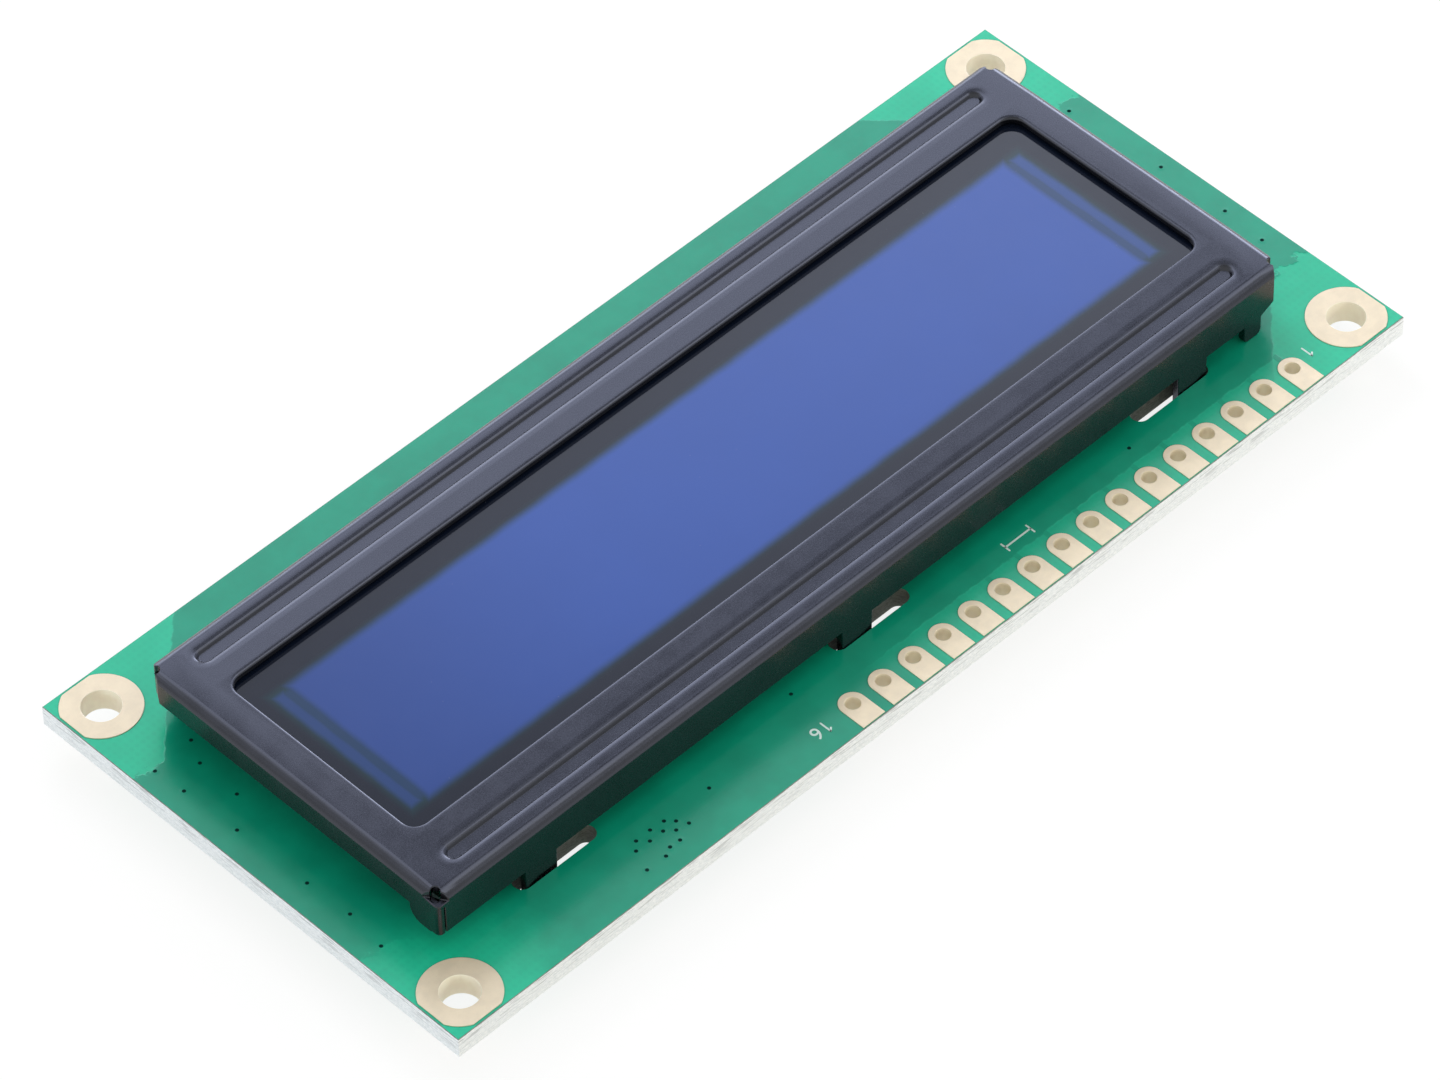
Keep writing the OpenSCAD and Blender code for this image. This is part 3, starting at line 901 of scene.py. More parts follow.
class OLED_OT_mounting_rings(bpy.types.Operator):
    """Plated eyelet in each mounting hole, spun from its section and trimmed at the board edges"""

    bl_idname = "oled_module.mounting_rings"
    bl_label = "Mounting rings"

    def execute(self, context):
        low, high = box_mm("mounting_rings")
        inner = sizes("mounting_hole") / 2
        outer = sizes("ring") / 2
        section = add_block("ring_section", (inner, -0.1, low.z), (inner + BARREL, 0, high.z))
        # Only one side of the block is kept, as a flat section
        pick(section, "FACE", lambda face: face.normal.y < FACING)
        bpy.ops.mesh.delete(type="FACE")
        slice_at(section, [((0, 0, z), (0, 0, 1)) for z in (BOARD_LOW.z, BOARD_HIGH.z)])
        pick(
            section,
            "EDGE",
            lambda edge: upright(edge)
            and middle(edge).x > inner + BARREL / 2
            and not BOARD_LOW.z < middle(edge).z < BOARD_HIGH.z,
        )
        draw_out((outer - inner - BARREL, 0, 0))
        bpy.ops.mesh.select_all(action="SELECT")
        bpy.ops.mesh.dissolve_limited(angle_limit=math.radians(1))
        # Rounded lips at the hole and at the rim
        lip = 0.02
        pick(section, "VERT", lambda v: v.co.z > BOARD_HIGH.z + TOUCH or v.co.z < BOARD_LOW.z - TOUCH)
        bpy.ops.mesh.bevel(offset=lip, segments=3, affect="VERTICES", clamp_overlap=True)
        bpy.ops.mesh.select_all(action="SELECT")
        bpy.ops.mesh.delete(type="ONLY_FACE")
        bpy.ops.mesh.select_all(action="SELECT")
        bpy.ops.mesh.spin(steps=64, angle=math.tau, center=(0, 0, 0), axis=(0, 0, 1))
        tidy(section)
        # The rim is cut flat along the two board edges
        rim_x = ((high.x - HOLE_X, 0, 0), (1, 0, 0))
        rim_y = ((0, high.y - HOLE_Y, 0), (0, 1, 0))
        slice_at(section, (rim_x, rim_y), clear_outer=True, use_fill=True)
        rings = [copy_at(section, sx * HOLE_X, sy * HOLE_Y, flip=(sx, sy, 1)) for sx, sy in CORNERS]
        bpy.data.objects.remove(section)
        plated = join("mounting_ring_plating", rings)
        tidy(plated)

        def finish_of(face):
            off_x = abs(face.center.x) - HOLE_X
            off_y = abs(face.center.y) - HOLE_Y
            # Hole walls take the gold painted paler as light, and the ring faces the gold painted darker as
            # shade
            in_bore = math.hypot(off_x, off_y) < inner + BARREL / 2
            return "lit_bore_plating" if in_bore else "shaded_ring_plating"

        paint_faces(plated, ("shaded_ring_plating", "lit_bore_plating"), finish_of)
        settle(plated, None, "gold_plating", "mounting_rings", smooth=45)
        return {"FINISHED"}


class OLED_OT_pin_pads(bpy.types.Operator):
    """Plated pads on both faces at each pin hole, round at one end and open to the board edge"""

    bl_idname = "oled_module.pin_pads"
    bl_label = "Pin pads"

    def execute(self, context):
        half = sizes("pad_width") / 2
        lip = 0.015
        sharp = 0.8
        reach = PADS_HIGH.y - ROW_Y - 0.1
        thick = PADS_HIGH.z - BOARD_HIGH.z
        pad = add_block("pad", (-half, -half, 0), (half, reach, thick))
        round_edges(pad, lambda edge: upright(edge) and middle(edge).y < 0, half - NEARLY, 10)
        carve(pad, add_rod("drill", sizes("pin_hole") / 2, (0, 0), -1, 1, 32))
        tidy(pad)
        round_edges(
            pad,
            lambda edge: middle(edge).z > thick - CLOSE
            and not edge.is_boundary
            and edge.calc_face_angle(0) > sharp
            and middle(edge).y < reach - TOUCH,
            lip,
            2,
        )
        plated = join("pin_pad_plating", copy_on_faces(pad, PIN_AT))
        tidy(plated)
        settle(plated, "plating", "gold_plating", "pin_pads", smooth=45)
        return {"FINISHED"}


def groove_tool(name, profile, half_length, at_y):
    """Round form grown ring by ring from its lowest circle, then drawn out along X."""
    clear_selection()
    sides = 32
    radius, z = profile[0]
    bpy.ops.mesh.primitive_circle_add(
        vertices=sides,
        radius=radius,
        fill_type="NGON",
        location=(0, 0, z),
        rotation=(0, 0, math.pi / sides),
    )
    tool = bpy.context.object
    tool.name = name
    apply_moves()
    open_faces(tool)
    for next_radius, next_z in profile[1:]:
        draw_out((0, 0, next_z - z))
        factor = next_radius / radius
        bpy.ops.transform.resize(value=(factor, factor, 1), center_override=(0, 0, 0))
        radius, z = next_radius, next_z
    bpy.ops.mesh.select_all(action="SELECT")
    bpy.ops.mesh.normals_make_consistent(inside=False)
    for side in (-1, 1):
        pick(tool, "VERT", lambda v: v.co.x * side > 0)
        bpy.ops.transform.translate(value=(side * half_length, 0, 0))
    bpy.ops.object.mode_set(mode="OBJECT")
    tool.data.transform(Matrix.Translation((0, at_y, 0)))
    return tool


class OLED_OT_bezel(bpy.types.Operator):
    """Bezel folded from sheet: window, two pressed grooves, feet, corner reliefs and twisted tabs"""

    bl_idname = "oled_module.bezel"
    bl_label = "Bezel"

    def execute(self, context):
        half_l = sizes("bezel_length") / 2
        half_w = sizes("bezel_width") / 2
        top = BEZEL_HIGH.z
        board_top = BOARD_HIGH.z
        bend = sizes("bend")
        sheet = sizes("sheet")
        shell = add_block("bezel_sheet", (-half_l, -half_w, REST_Z), (half_l, half_w, top))
        round_edges(shell, lambda edge: all(v.co.z > top - TOUCH for v in edge.verts), bend, 8)
        pick(shell, "FACE", lambda face: face.normal.z < -FACING)
        bpy.ops.mesh.delete(type="FACE")
        bpy.ops.object.mode_set(mode="OBJECT")
        even = {"use_even_offset": True, "use_quality_normals": True}
        modify(shell, "SOLIDIFY", thickness=sheet, offset=-1, **even)
        window_l = sizes("window_length") / 2
        window_w = sizes("window_width") / 2
        crown_x = window_l + 0.71
        crown_y = window_w + 0.45
        # Lines outside the window from which the top falls away
        crown = []
        for side in (-1, 1):
            crown += [((side * crown_x, 0, 0), (1, 0, 0)), ((0, side * crown_y, 0), (0, 1, 0))]
        slice_at(shell, crown)

        def cut_pair(low, high, raise_end=0.0):
            """Cuts a block from the sheet, and the same block turned half a turn."""
            for side in (1, -1):
                tool = add_block("punch", low, high)
                if raise_end:
                    pick(tool, "VERT", lambda v: v.co.x < low[0] + TOUCH and v.co.z > high[2] - TOUCH)
                    bpy.ops.transform.translate(value=(0, 0, raise_end))
                    bpy.ops.object.mode_set(mode="OBJECT")
                tool.data.transform(Matrix.Diagonal((side, side, 1, 1)))
                carve(shell, tool)

        # Pressed grooves, with the rib that each makes below the sheet: radius, and height from the top
        groove_y = half_w - 2.0
        end_gap = 2.6
        end_radius = 0.65
        groove_half = half_l - end_gap - end_radius
        rib = ((0.5, -0.85), (0.62, -0.84), (0.9, -0.5), (0.93, -0.42))
        groove = (
            (0.15, -0.342), (0.345, -0.342), (0.37, -0.332), (0.40, -0.2962), (0.44, -0.2411),
            (0.48, -0.1917), (0.52, -0.1503), (0.57, -0.1098), (0.62, -0.0809), (0.68, -0.0567),
            (0.75, -0.0373), (0.82, -0.0243), (0.90, -0.0145), (1.00, -0.0068), (1.10, -0.0023),
            (1.20, 0.0), (1.21, 0.004), (1.22, 0.2),
        )
        for side in (-1, 1):
            at_y = side * groove_y - 0.06
            for name, profile, operation in (("rib", rib, "UNION"), ("press", groove, "DIFFERENCE")):
                form = [(radius, top + z) for radius, z in profile]
                carve(shell, groove_tool(name, form, groove_half, at_y), operation)

        window_low = (-window_l, -window_w - 0.1, top - 2)
        window = add_block("window_punch", window_low, (window_l, window_w, top + 1))
        window_corner = 1.0
        round_edges(window, upright, window_corner, 10)
        carve(shell, window)

        # Lower edges of the long walls, between the foot and the tabs
        long_low = top - 3.5
        foot = (-33.62, -32.12)
        past_end = 38
        inside = half_w - sheet - 0.2
        outside = half_w + 1
        floor = REST_Z - 1
        rise = 0.55 * (past_end + foot[0]) / 1.13
        cut_pair((-past_end, inside, floor), (foot[0], outside, long_low), rise)
        cut_pair((foot[0] - 0.1, inside, floor), (foot[1] + 0.1, outside, board_top))
        edges = [foot[1]]
        for x in TAB_X:
            edges += [x - TAB_WIDTH / 2, x + TAB_WIDTH / 2]
        edges.append(past_end)
        for start, end in zip(edges[0::2], edges[1::2]):
            cut_pair((start, inside, floor), (end, outside, long_low))

        # Lower edges of the short walls, with a lobe at one end
        short_low = top - 2.4
        lobe_low = 2.9
        lobe_start = 10.2
        wall_x = half_l - sheet
        wall_y = half_w - sheet
        cut_pair((wall_x - 0.2, -half_w - 1.2, floor), (half_l + 1, lobe_start, short_low))
        cut_pair((wall_x - 0.3, lobe_start - 0.1, floor), (half_l + 1.2, half_w + 1.2, lobe_low))
        # Slanted corners: two are open all the way down, and at two a lobe meets the long wall in a seam
        slant_x = 0.9
        slant_y = 1.35
        seam = 0.08
        relief = 0.3
        corners = ((1, 1, top - 0.7), (-1, -1, top - 1.1), (1, -1, floor - 0.1), (-1, 1, floor - 0.1))
        for sx, sy, low in corners:
            at = (sx * (half_l - slant_x / 2), sy * (half_w - slant_y / 2), 0)
            tool = add_block("corner", (0, -2, low), (2, 2, top + 1))
            facing = Matrix.Rotation(math.atan2(sy / slant_y, sx / slant_x), 4, "Z")
            tool.data.transform(Matrix.Translation(at) @ facing)
            carve(shell, tool)
            carve(shell, add_rod("relief", relief, at, top - 0.8, top + 1, 32))
        cut_pair((wall_x - seam, wall_y - 0.1, floor - 0.2), (wall_x + 0.01, half_w + 1.3, top - 1.0))
        tidy(shell)

        # Round corners of the feet and lobes
        foot_corner = 0.4
        lobe_corner = 1.0
        foot_middle = (foot[0] + foot[1]) / 2
        round_edges(
            shell,
            lambda edge: runs_along(edge, 1)
            and abs(middle(edge).z - board_top) < TOUCH
            and abs(abs(middle(edge).x) - abs(foot_middle)) < 1.0,
            foot_corner,
            6,
        )
        round_edges(
            shell,
            lambda edge: runs_along(edge, 0)
            and abs(middle(edge).z - lobe_low) < TOUCH
            and abs(middle(edge).x) > wall_x - 0.1
            and abs(middle(edge).y) < lobe_start + 0.1,
            lobe_corner,
            8,
        )
        # Outer corner edges below the reliefs
        outer_corner = 0.36
        round_edges(
            shell,
            lambda edge: upright(edge)
            and abs(middle(edge).x) > half_l - TOUCH
            and abs(middle(edge).y) > half_w - TOUCH
            and middle(edge).z < top - 1.0,
            outer_corner,
            6,
        )

        # Tab ends are divided and twisted a little at each step
        levels = [-0.1 * step for step in range(1, 9)]
        slice_at(shell, [((0, 0, level), (0, 0, 1)) for level in levels])
        for side in (-1, 1):
            for x in TAB_X:
                at = Vector((side * x, side * (half_w - sheet / 2), 0))
                for level in levels:
                    pick(
                        shell,
                        "VERT",
                        lambda v: v.co.z < level + CLOSE and (v.co.xy - at.xy).length < TAB_WIDTH,
                    )
                    twist = -TAB_TWIST / len(levels)
                    bpy.ops.transform.rotate(value=twist, orient_axis="Z", center_override=at)
        bpy.ops.object.mode_set(mode="OBJECT")
        tidy(shell)

        # Edge rounding: wide at the window, fine on all cut edges
        mesh = bmesh.new()
        mesh.from_mesh(shell.data)
        weight = mesh.edges.layers.float.new("bevel_weight_edge")
        fine_edge = 0.06
        sharp = math.radians(40)
        for edge in mesh.edges:
            if len(edge.link_faces) != 2 or edge.calc_face_angle(0) < sharp:
                continue
            at = middle(edge)
            at_window = abs(at.x) < window_l + 0.2 and abs(at.y) < window_w + 0.2
            wide = at_window and at.z > top - TOUCH
            edge[weight] = 1.0 if wide else fine_edge / sizes("window_edge")
        mesh.to_mesh(shell.data)
        mesh.free()
        modify(
            shell,
            "BEVEL",
            width=sizes("window_edge"),
            segments=4,
            limit_method="WEIGHT",
            use_clamp_overlap=False,
        )
        # The top falls away a little towards the bends, as pressed sheet does, and the walls don't
        slope = 0.037
        bend_slope = 0.04
        wall_depth = 1.6
        blend_depth = 0.6
        for vertex in shell.data.vertices:
            at_x, at_y = abs(vertex.co.x), abs(vertex.co.y)
            beyond = math.hypot(max(at_x - crown_x, 0), max(at_y - crown_y, 0))
            near_bend = max(at_x - half_l + 1.0, 0) + max(at_y - half_w + 1.4, 0)
            share = min(max((vertex.co.z - top + wall_depth) / blend_depth, 0), 1)
            vertex.co.z -= (slope * beyond + bend_slope * near_bend) * share
        shell.data.transform(Matrix.Translation((BEZEL_X, BEZEL_Y, 0)))
        settle(shell, "bezel", "bezel_metal", "bezel", smooth=35)
        return {"FINISHED"}


class OLED_OT_panel(bpy.types.Operator):
    """Display film on the front glass, and finishes for the panel parts behind it"""

    bl_idname = "oled_module.panel"
    bl_label = "Display panel"

    def execute(self, context):
        film = add_block("display_film", FILM_LOW, FILM_HIGH)
        round_edges(film, upright, 0.4, 4)
        soften(film, 0.03)
        settle(film, "display", "polariser_film", "polariser")
        dressed = {
            # Both glasses take a dark finish, painted shade for where they lie under the bezel
            "front_glass": "glass",
            "cap_glass": "glass",
            "emitter_film": "emitter",
            "desiccant_sheet": "drying",
            "flex_tail": "flex",
            "spacer_frame": "spacer",
        }
        for node, finish in dressed.items():
            mesh = frame["nodes"][node].data
            mesh.materials.clear()
            mesh.materials.append(FINISHES[finish])
        return {"FINISHED"}


class OLED_OT_vias(bpy.types.Operator):
    """Small through holes under the mask: a low ring with a dark hole, on both faces"""

    bl_idname = "oled_module.vias"
    bl_label = "Through holes"

    def execute(self, context):
        clear_selection()
        hole = 0.14
        bpy.ops.mesh.primitive_circle_add(vertices=14, radius=0.30, fill_type="NGON")
        via = bpy.context.object
        open_faces(via)
        for lift, shrink in ((0.004, 0.85), (0.002, 0.72), (-0.002, 0.72), (-0.003, 0.85)):
            draw_out((0, 0, lift))
            bpy.ops.transform.resize(value=(shrink, shrink, 1), center_override=(0, 0, 0))
        bpy.ops.object.mode_set(mode="OBJECT")
        tidy(via)

        def finish_of(face):
            in_hole = math.hypot(face.center.x, face.center.y) < hole
            return "via" if in_hole and face.normal.z > 0 else "mask"

        paint_faces(via, ("mask", "via"), finish_of)
        holes = join("through_holes", copy_on_faces(via, VIA_AT))
        tidy(holes)
        settle(holes, None, "board_mask", smooth=60)
        return {"FINISHED"}


def add_stroke(start, end, width):
    """A printed stroke with round ends on the front face."""
    start, end = Vector(start), Vector(end)
    half = (end - start).length / 2 + width / 2
    stroke = add_block("stroke", (-half, -width / 2, 0), (half, width / 2, PRINT_HEIGHT))
    round_edges(stroke, upright, width * 0.45, 3)
    turn = (end - start).angle_signed(Vector((1, 0)))
    centre = (start + end) / 2
    stroke.data.transform(Matrix.Translation((*centre, BOARD_HIGH.z)) @ Matrix.Rotation(turn, 4, "Z"))
    return stroke


def add_one(x, y, height):
    """The figure 1 in two strokes."""
    top = y + height / 2
    width = height * 0.14
    return [
        add_stroke((x, y - height / 2), (x, top), width),
        add_stroke((x, top), (x - height * 0.24, top - height * 0.22), width),
    ]


def add_number(text, at, height):
    """A printed number, turned from text to a thin mesh."""
    clear_selection()
    bpy.ops.object.text_add(location=(0, 0, 0))
    mark = bpy.context.object
    mark.data.body = text
    mark.data.align_x = "CENTER"
    mark.data.align_y = "CENTER"
    # A figure is about seven tenths of the font size high
    mark.data.size = height / 0.7
    mark.data.extrude = 0.006
    mark.data.bevel_depth = 0.004
    bpy.ops.object.convert(target="MESH")
    mark = bpy.context.object
    centre = sum((Vector(corner) for corner in mark.bound_box), Vector()) / 8
    shift = (at[0] - centre.x, at[1] - centre.y, BOARD_HIGH.z + 0.008)
    mark.data.transform(Matrix.Translation(shift))
    return mark


def add_outline(size, at):
    """A thin printed frame on the rear face, at x, y and a turn in degrees."""
    clear_selection()
    bpy.ops.mesh.primitive_plane_add(size=1)
    mark = bpy.context.object
    mark.name = "outline"
    mark.scale = (size[0], size[1], 1)
    apply_moves()
    open_faces(mark)
    bpy.ops.mesh.inset(thickness=PRINT_LINE)
    bpy.ops.mesh.delete(type="FACE")
    bpy.ops.object.mode_set(mode="OBJECT")
    modify(mark, "SOLIDIFY", thickness=PRINT_HEIGHT, offset=1)
    x, y, turn = at
    turned = Matrix.Rotation(math.radians(turn), 4, "Z")
    mark.matrix_world = Matrix.Translation((x, y, -PRINT_HEIGHT)) @ turned
    take(mark)
    apply_moves()
    return mark


class OLED_OT_print(bpy.types.Operator):
    """Printed marks: the first and last pin number, a plain key mark, and outlines round the rear parts"""

    bl_idname = "oled_module.print"
    bl_label = "Printed marks"

    def execute(self, context):
        marks = add_one(-33.65, 15.78, 0.85) + add_one(8.52, 16.25, 0.85)
        marks.append(add_number("6", (9.27, 16.25), 0.95))
        # Key mark: a bar between two short strokes
        left = -11.3
        right = -9.15
        strokes = [((left, 13.85), (right, 13.85))]
        strokes += [((x, 13.5), (x, 14.2)) for x in (left, right)]
        marks += [add_stroke(start, end, PRINT_LINE) for start, end in strokes]
        outlines = [
            ((5.2, 5.2), (17, 4, 0)),
            ((3.4, 3.6), (10.5, 4, 90)),
            ((4.6, 2.2), (17, 9, 0)),
        ]
        outlines += [((2.7, 1.8), at) for at in CAPACITOR_AT]
        outlines += [((2.2, 1.3), at) for at in RESISTOR_AT]
        marks += [add_outline(size, at) for size, at in outlines]
        printed = join("printed_marks", marks)
        settle(printed, "print", "board_mask", smooth=30)
        return {"FINISHED"}


class OLED_OT_controller(bpy.types.Operator):
    """Poured dome over the controller chip, a little uneven, inside a printed ring"""

    bl_idname = "oled_module.controller"
    bl_label = "Controller dome"

    def execute(self, context):
        low, high = box_mm("controller_glob")
        radius = (high.x - low.x) / 2
        rise = high.z - low.z
        at = (low + high) / 2
        clear_selection()
        bpy.ops.mesh.primitive_uv_sphere_add(segments=72, ring_count=36, radius=1)
        dome = bpy.context.object
        slice_at(dome, [((0, 0, 0), (0, 0, 1))], clear_inner=True, use_fill=True)
        dome.scale = (radius * 0.965, radius * 0.965, rise * 0.95)
        apply_moves()
        # Flatten the middle and spread the foot, as poured compound does
        for vertex in dome.data.vertices:
            share = math.hypot(vertex.co.x, vertex.co.y) / radius
            angle = math.atan2(vertex.co.y, vertex.co.x)
            swell = 1 + 0.018 * math.sin(3 * angle + 0.6) + 0.012 * math.sin(5 * angle + 2.1)
            vertex.co.x *= swell
            vertex.co.y *= swell
            vertex.co.z *= (1 - 0.25 * share**4) * (1 - 0.02 * math.sin(2 * angle + 1) * share)
        tidy(dome)
        hang_below(dome, at)
        dome.name = "controller_dome"
        settle(dome, "epoxy", "epoxy", "controller_glob", smooth=50)
        clear_selection()
        bpy.ops.mesh.primitive_torus_add(
            major_segments=96,
            minor_segments=6,
            major_radius=radius + 0.45,
            minor_radius=0.09,
            location=(at.x, at.y, 0),
        )
        ring = bpy.context.object
        ring.name = "dome_ring"
        ring.scale = (1, 1, 0.14)
        apply_moves()
        slice_at(ring, [((0, 0, 0), (0, 0, 1))], clear_outer=True)
        settle(ring, "print", "board_mask", smooth=60)
        return {"FINISHED"}


class OLED_OT_inductor(bpy.types.Operator):
    """Shielded inductor: square ferrite with a round core in a ring gap, on two tinned feet"""

    bl_idname = "oled_module.inductor"
    bl_label = "Inductor"

    def execute(self, context):
        low, high = box_mm("inductor_core")
        at = (low + high) / 2
        half = (high.x - low.x) / 2
        foot = -high.z
        tall = -low.z
        core = add_block("inductor", (-half, -half, foot), (half, half, tall))
        round_edges(core, upright, 0.5, 6)
        gap_depth = 0.22
        gap = add_rod("gap_outer", 1.62, (0, 0), tall - gap_depth, tall + 1, 64)
        carve(gap, add_rod("gap_inner", 1.42, (0, 0), tall - 1, tall + 2, 64))
        carve(core, gap)
        tidy(core)
        soften(core, 0.06)
        hang_below(core, at)
        settle(core, "ferrite", "ferrite", "inductor_core")
        feet = []
        low, high = box_mm("inductor_terminals")
        width = 1.1
        for x0, x1 in ((low.x, low.x + width), (high.x - width, high.x)):
            foot_block = add_block("foot", (x0, low.y, low.z), (x1, high.y, high.z))
            soften(foot_block, 0.03)
            feet.append(foot_block)
        settle(join("inductor_feet", feet), "tinned", "tinned_metal", "inductor_terminals")
        return {"FINISHED"}


def moulded_body(name, node, draft):
    """Body with sloped sides that meet at the parting line."""
    low, high = box_mm(node)
    body = add_block(name, low, high)
    size = high - low
    centre = (low + high) / 2
    slice_at(body, [((0, 0, (low.z + high.z) / 2), (0, 0, 1))])
    shrink = (1 - 2 * draft / size.x, 1 - 2 * draft / size.y, 1)
    for end in (low.z, high.z):
        pick(body, "VERT", lambda v: abs(v.co.z - end) < CLOSE)
        bpy.ops.transform.resize(value=shrink, center_override=(centre.x, centre.y, 0))
    bpy.ops.object.mode_set(mode="OBJECT")
    return body


def bent_leads(name, width, drop, run, places):
    """Gull-wing leads: a bar drawn out and turned step by step, then copied."""
    thick = 0.15
    clear_selection()
    bpy.ops.mesh.primitive_plane_add(size=1, rotation=(math.pi / 2, 0, 0))
    lead = bpy.context.object
    lead.scale = (width, thick, 1)
    apply_moves()
    lead.data.transform(Matrix.Translation((0, 0, drop + thick / 2)))
    open_faces(lead)
    # Steps of the path: out, up, and the turn of the end in degrees
    path = (
        (run - 0.35 - thick, 0.0, 0),
        (0.07, -0.02, -32),
        (0.06, -0.06, -38),
        (0.02, -(drop - 0.22), 0),
        (0.05, -0.07, 38),
        (0.07, -0.03, 32),
        (0.28, 0.0, 0),
    )
    for out, rise, turn in path:
        draw_out((0, out, rise))
        if turn:
            mesh = bmesh.from_edit_mesh(lead.data)
            chosen = [v.co for v in mesh.verts if v.select]
            centre = sum(chosen, Vector()) / len(chosen)
            bpy.ops.transform.rotate(value=-math.radians(turn), orient_axis="X", center_override=centre)
    bpy.ops.object.mode_set(mode="OBJECT")
    tidy(lead)
    made = [copy_at(lead, x, y, turn) for x, y, turn in places]
    bpy.data.objects.remove(lead)
    leads = join(name, made)
    tidy(leads)
    soften(leads, 0.02)
    return leads


class OLED_OT_regulator(bpy.types.Operator):
    """Six-lead regulator with a pin dimple"""

    bl_idname = "oled_module.regulator"
    bl_label = "Regulator"

    def execute(self, context):
        low, high = box_mm("regulator_body")
        centre = (low + high) / 2
        body = moulded_body("regulator", "regulator_body", 0.07)
        dimple = (low.x + 0.42, low.y + 0.45)
        carve(body, add_rod("dimple", 0.16, dimple, low.z - 0.5, low.z + 0.04, 20))
        tidy(body)
        soften(body, 0.035)
        settle(body, "part", "part_plastic", "regulator_body")
        pitch = 0.95
        row = 0.8
        places = []
        for x in (-pitch, 0.0, pitch):
            places += [(x, row, 0), (x, -row, 180)]
        leads = bent_leads("regulator_leads_bent", 0.4, 0.5, 0.6, places)
        hang_below(leads)
        leads.data.transform(Matrix.Rotation(math.radians(90), 4, "Z"))
        leads.data.transform(Matrix.Translation((centre.x, centre.y, 0)))
        settle(leads, "tinned", "tinned_metal", "regulator_leads")
        return {"FINISHED"}


class OLED_OT_diode(bpy.types.Operator):
    """Two-lead diode with a band at one end"""

    bl_idname = "oled_module.diode"
    bl_label = "Diode"

    def execute(self, context):
        low, high = box_mm("diode_body")
        centre = (low + high) / 2
        body = moulded_body("diode", "diode_body", 0.09)
        soften(body, 0.035)
        settle(body, "diode", "part_plastic", "diode_body")
        half = (high.x - low.x) / 2
        leads = bent_leads("diode_leads_bent", 0.7, 0.5, 0.6, [(half, 0, -90), (-half, 0, 90)])
        hang_below(leads, centre)
        settle(leads, "tinned", "tinned_metal", "diode_leads")
        return {"FINISHED"}


def chip_parts(name, size, end, places):
    """Chip bodies and their metal ends with a solder slope, each modelled once and copied."""
    half_l, half_w, tall = size[0] / 2, size[1] / 2, size[2]
    inset = 0.02
    low = (-half_l + end, -half_w + inset, inset)
    body = add_block("chip", low, (half_l - end, half_w - inset, tall - inset))
    soften(body, 0.03)
    caps = []
    for side in (-1, 1):
        x0, x1 = sorted((side * half_l, side * (half_l - end)))
        cap = add_block("cap", (x0, -half_w, 0), (x1, half_w, tall))
        soften(cap, 0.06, 3)
        # Solder that slopes from the cap down to the board
        solder = tall * 0.6
        x0, x1 = sorted((side * (half_l - 0.05), side * (half_l + 0.3)))
        slope = add_block("solder", (x0, -half_w + 0.03, 0), (x1, half_w - 0.03, solder))
        pick(slope, "VERT", lambda v: v.co.z > TOUCH and v.co.x * side > half_l)
        bpy.ops.transform.translate(value=(0, 0, -solder + 0.03))
        bpy.ops.object.mode_set(mode="OBJECT")
        soften(slope, 0.025, angle=20)
        caps += [cap, slope]
    made = []
    for part, kind in ((body, "_bodies"), (join("chip_ends", caps), "_ends")):
        hang_below(part)
        copies = [copy_at(part, x, y, turn) for x, y, turn in places]
        bpy.data.objects.remove(part)
        made.append(join(name + kind, copies))
    return made


class OLED_OT_chips(bpy.types.Operator):
    """Chip capacitors and chip resistors with soldered ends"""

    bl_idname = "oled_module.chips"
    bl_label = "Chip parts"

    def execute(self, context):
        bodies, ends = chip_parts("capacitor", (2.0, 1.25, 0.9), 0.4, CAPACITOR_AT)
        settle(bodies, "capacitor", "capacitor_ceramic", "chip_capacitors")
        settle(ends, "tinned", "tinned_metal", "capacitor_terminals")
        bodies, ends = chip_parts("resistor", (1.6, 0.8, 0.45), 0.3, RESISTOR_AT)
        settle(bodies, "resistor", "resistor_ceramic", "chip_resistors")
        settle(ends, "tinned", "tinned_metal", "resistor_terminals")
        return {"FINISHED"}


class OLED_OT_jumpers(bpy.types.Operator):
    """Bare jumper pads on the rear face"""

    bl_idname = "oled_module.jumpers"
    bl_label = "Jumper pads"

    def execute(self, context):
        low, high = box_mm("jumper_pads")
        pad = add_block("jumper", (-0.5, -0.65, 0), (0.5, 0.65, high.z - low.z))
        round_edges(pad, upright, 0.12, 4)
        soften(pad, 0.018)
        hang_below(pad)
        pads = [copy_at(pad, x, y) for x, y in JUMPER_AT]
        bpy.data.objects.remove(pad)
        settle(join("jumper_plating", pads), "plating", "gold_plating", "jumper_pads")
        return {"FINISHED"}


# Stage


def floor_finish():
    """White floor that shows white to the camera and in reflections, and keeps a soft shadow."""
    material = bpy.data.materials.new("floor_white")
    material.use_nodes = True
    f = Nodes(material.node_tree)
    nodes = f.tree.nodes
    nodes.clear()
    out = nodes.new("ShaderNodeOutputMaterial")
    matt = nodes.new("ShaderNodeBsdfDiffuse")
    matt.inputs["Color"].default_value = (0.80, 0.80, 0.80, 1)
    pale = nodes.new("ShaderNodeBsdfDiffuse")
    pale.inputs["Color"].default_value = (0.18, 0.18, 0.18, 1)
    glow = nodes.new("ShaderNodeEmission")
    glow.inputs["Strength"].default_value = 0.85
    shown = nodes.new("ShaderNodeAddShader")
    f.fill(shown.inputs, (pale.outputs[0], glow.outputs[0]))
    path = nodes.new("ShaderNodeLightPath")
    seen = f.larger(path.outputs["Is Camera Ray"], path.outputs["Is Glossy Ray"])
    seen = f.larger(seen, path.outputs["Is Transmission Ray"])
    both = nodes.new("ShaderNodeMixShader")
    f.fill(both.inputs, (seen, matt.outputs[0], shown.outputs[0]))
    f.put(out.inputs["Surface"], both.outputs[0])
    return material


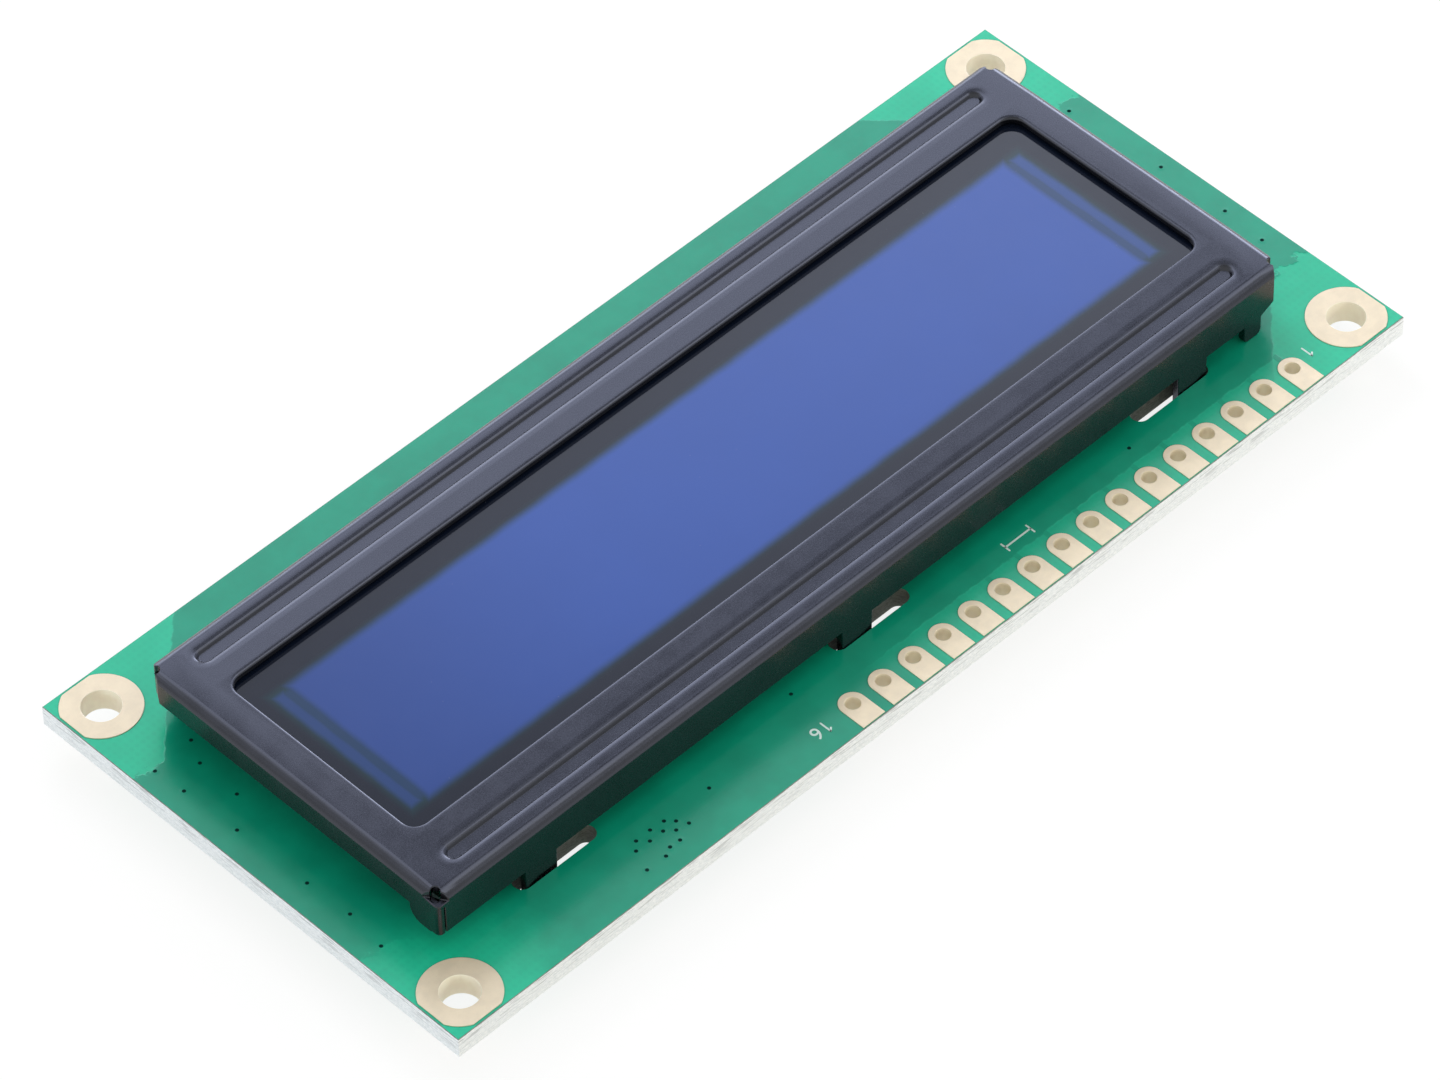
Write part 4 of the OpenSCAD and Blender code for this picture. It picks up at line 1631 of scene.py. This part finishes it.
def light_world():
    """White studio: even for the camera and as fill; reflections show walls, two strips and two lamps."""
    world = bpy.data.worlds.new("studio")
    bpy.context.scene.world = world
    world.use_nodes = True
    w = Nodes(world.node_tree)
    back = w.tree.nodes["Background"]
    path = w.tree.nodes.new("ShaderNodeLightPath")
    place = w.tree.nodes.new("ShaderNodeTexCoord")

    def along(axis):
        """Share of the direction that runs along an axis."""
        node = w.tree.nodes.new("ShaderNodeVectorMath")
        node.operation = "DOT_PRODUCT"
        w.fill(node.inputs, (place.outputs["Generated"], axis))
        return node.outputs["Value"]

    def strip(axis, glow, rest):
        """A bright upright strip where the direction lies across an axis."""
        off = along(axis)
        return w.between(off, -0.18, -0.09, rest, w.between(off, 0.09, 0.18, glow, rest))

    height = along((0, 0, 1))
    far = along((-0.69, -0.72, 0))
    # Strips that the far bends of the bezel mirror, before a plain wall
    end_strip = strip((-0.507, 0.862, 0), 7.2, 1.0)
    long_strip = strip((-0.88, 0.475, 0), 4.2, end_strip)
    plain = 0.82
    low_wall = w.between(far, 0.4, 0.75, plain, long_strip)
    high_wall = w.between(far, -0.25, 0.5, plain, 2.6)
    walls = w.between(height, 0.35, 0.62, low_wall, high_wall)
    shine = w.between(height, 0.69, 0.785, walls, 0.62)
    for lamp, glow in (((-0.46, 0.38, 0.80), 1.6), ((0.13, -0.50, 0.856), 1.35)):
        shine = w.plus(shine, w.between(along(lamp), 0.92, 0.985, 0.0, glow))
    in_gloss = path.outputs["Is Glossy Ray"]
    seen = w.larger(path.outputs["Is Camera Ray"], path.outputs["Is Transmission Ray"])
    strength = w.blend(in_gloss, w.between(far, -0.8, 0.8, 0.54, 0.78), shine)
    w.put(back.inputs["Strength"], w.blend(seen, strength, 1.0))
    # Warm light from the near side, cool light from the far side, white to the camera
    near_tone = w.mix(in_gloss, (1.0, 0.97, 0.74, 1), (1.0, 1.0, 0.94, 1))
    tone = w.mix(w.between(far, -0.6, 0.6), near_tone, (0.95, 1.0, 1.16, 1))
    w.put(back.inputs["Color"], w.mix(seen, tone, (1, 1, 1, 1)))


def add_softbox(name, at, size, power, tone=(1, 1, 1)):
    """A square lamp that looks at the module; place and size in metres."""
    clear_selection()
    bpy.ops.object.light_add(type="AREA", location=at)
    lamp = bpy.context.object
    lamp.name = name
    lamp.data.shape = "SQUARE"
    lamp.data.size = size
    lamp.data.energy = power
    lamp.data.color = tone
    lamp.rotation_euler = (-Vector(at)).to_track_quat("-Z", "Y").to_euler()
    lamp.visible_glossy = False
    lamp.visible_camera = False


class OLED_OT_stage(bpy.types.Operator):
    """Floor, soft light and the camera at the photograph's place"""

    bl_idname = "oled_module.stage"
    bl_label = "Stage"

    def execute(self, context):
        clear_selection()
        bpy.ops.mesh.primitive_plane_add(size=6, location=(0, 0, REST_Z * MM))
        floor = context.object
        floor.name = "floor"
        floor.data.materials.append(floor_finish())
        light_world()
        add_softbox("softbox_far", (-0.07, -0.165, 0.16), 0.12, 0.19)
        add_softbox("softbox_near", (-0.14, 0.32, 0.05), 0.20, 0.62)
        add_softbox("softbox_end", (0.36, 0, 0.052), 0.10, 0.31, (0.87, 1.0, 1.2))

        bpy.ops.object.camera_add()
        camera = context.object
        camera.data.sensor_width = 36
        camera.data.lens = 214.93
        camera.data.clip_start = 0.01
        right = Vector((-0.713299, 0.700598, -0.019155))
        up = Vector((-0.529700, -0.521004, 0.669308))
        back = Vector((0.458935, 0.487563, 0.742739))
        turn = Matrix((right, up, back)).transposed().to_4x4()
        camera.matrix_world = Matrix.Translation((0.24009, 0.25363, 0.38617)) @ turn
        context.scene.camera = camera
        context.scene.view_settings.view_transform = "Standard"
        return {"FINISHED"}


OPERATORS = (
    OLED_OT_stage,
    OLED_OT_board,
    OLED_OT_mounting_rings,
    OLED_OT_pin_pads,
    OLED_OT_bezel,
    OLED_OT_panel,
    OLED_OT_vias,
    OLED_OT_print,
    OLED_OT_controller,
    OLED_OT_inductor,
    OLED_OT_regulator,
    OLED_OT_diode,
    OLED_OT_chips,
    OLED_OT_jumpers,
)


class OLED_PT_module(bpy.types.Panel):
    """Sizes, colours and steps of the module"""

    bl_idname = "OLED_PT_module"
    bl_label = "OLED Module"
    bl_space_type = "VIEW_3D"
    bl_region_type = "UI"
    bl_category = "OLED Module"

    def draw(self, context):
        layout = self.layout
        for group in (context.scene.oled_sizes, context.scene.oled_colours):
            column = layout.column()
            for name in group.__annotations__:
                column.prop(group, name)
        column = layout.column()
        for operator in OPERATORS:
            column.operator(operator.bl_idname)


CLASSES = (ModuleSizes, ModuleColours, *OPERATORS, OLED_PT_module)


def register():
    for item in CLASSES:
        bpy.utils.register_class(item)
    bpy.types.Scene.oled_sizes = PointerProperty(type=ModuleSizes)
    bpy.types.Scene.oled_colours = PointerProperty(type=ModuleColours)


def unregister():
    del bpy.types.Scene.oled_colours
    del bpy.types.Scene.oled_sizes
    for item in reversed(CLASSES):
        bpy.utils.unregister_class(item)


def main():
    register()
    FINISHES.update(make_finishes())
    for operator in OPERATORS:
        group, name = operator.bl_idname.split(".")
        getattr(getattr(bpy.ops, group), name)()


if __name__ == "__main__":
    main()
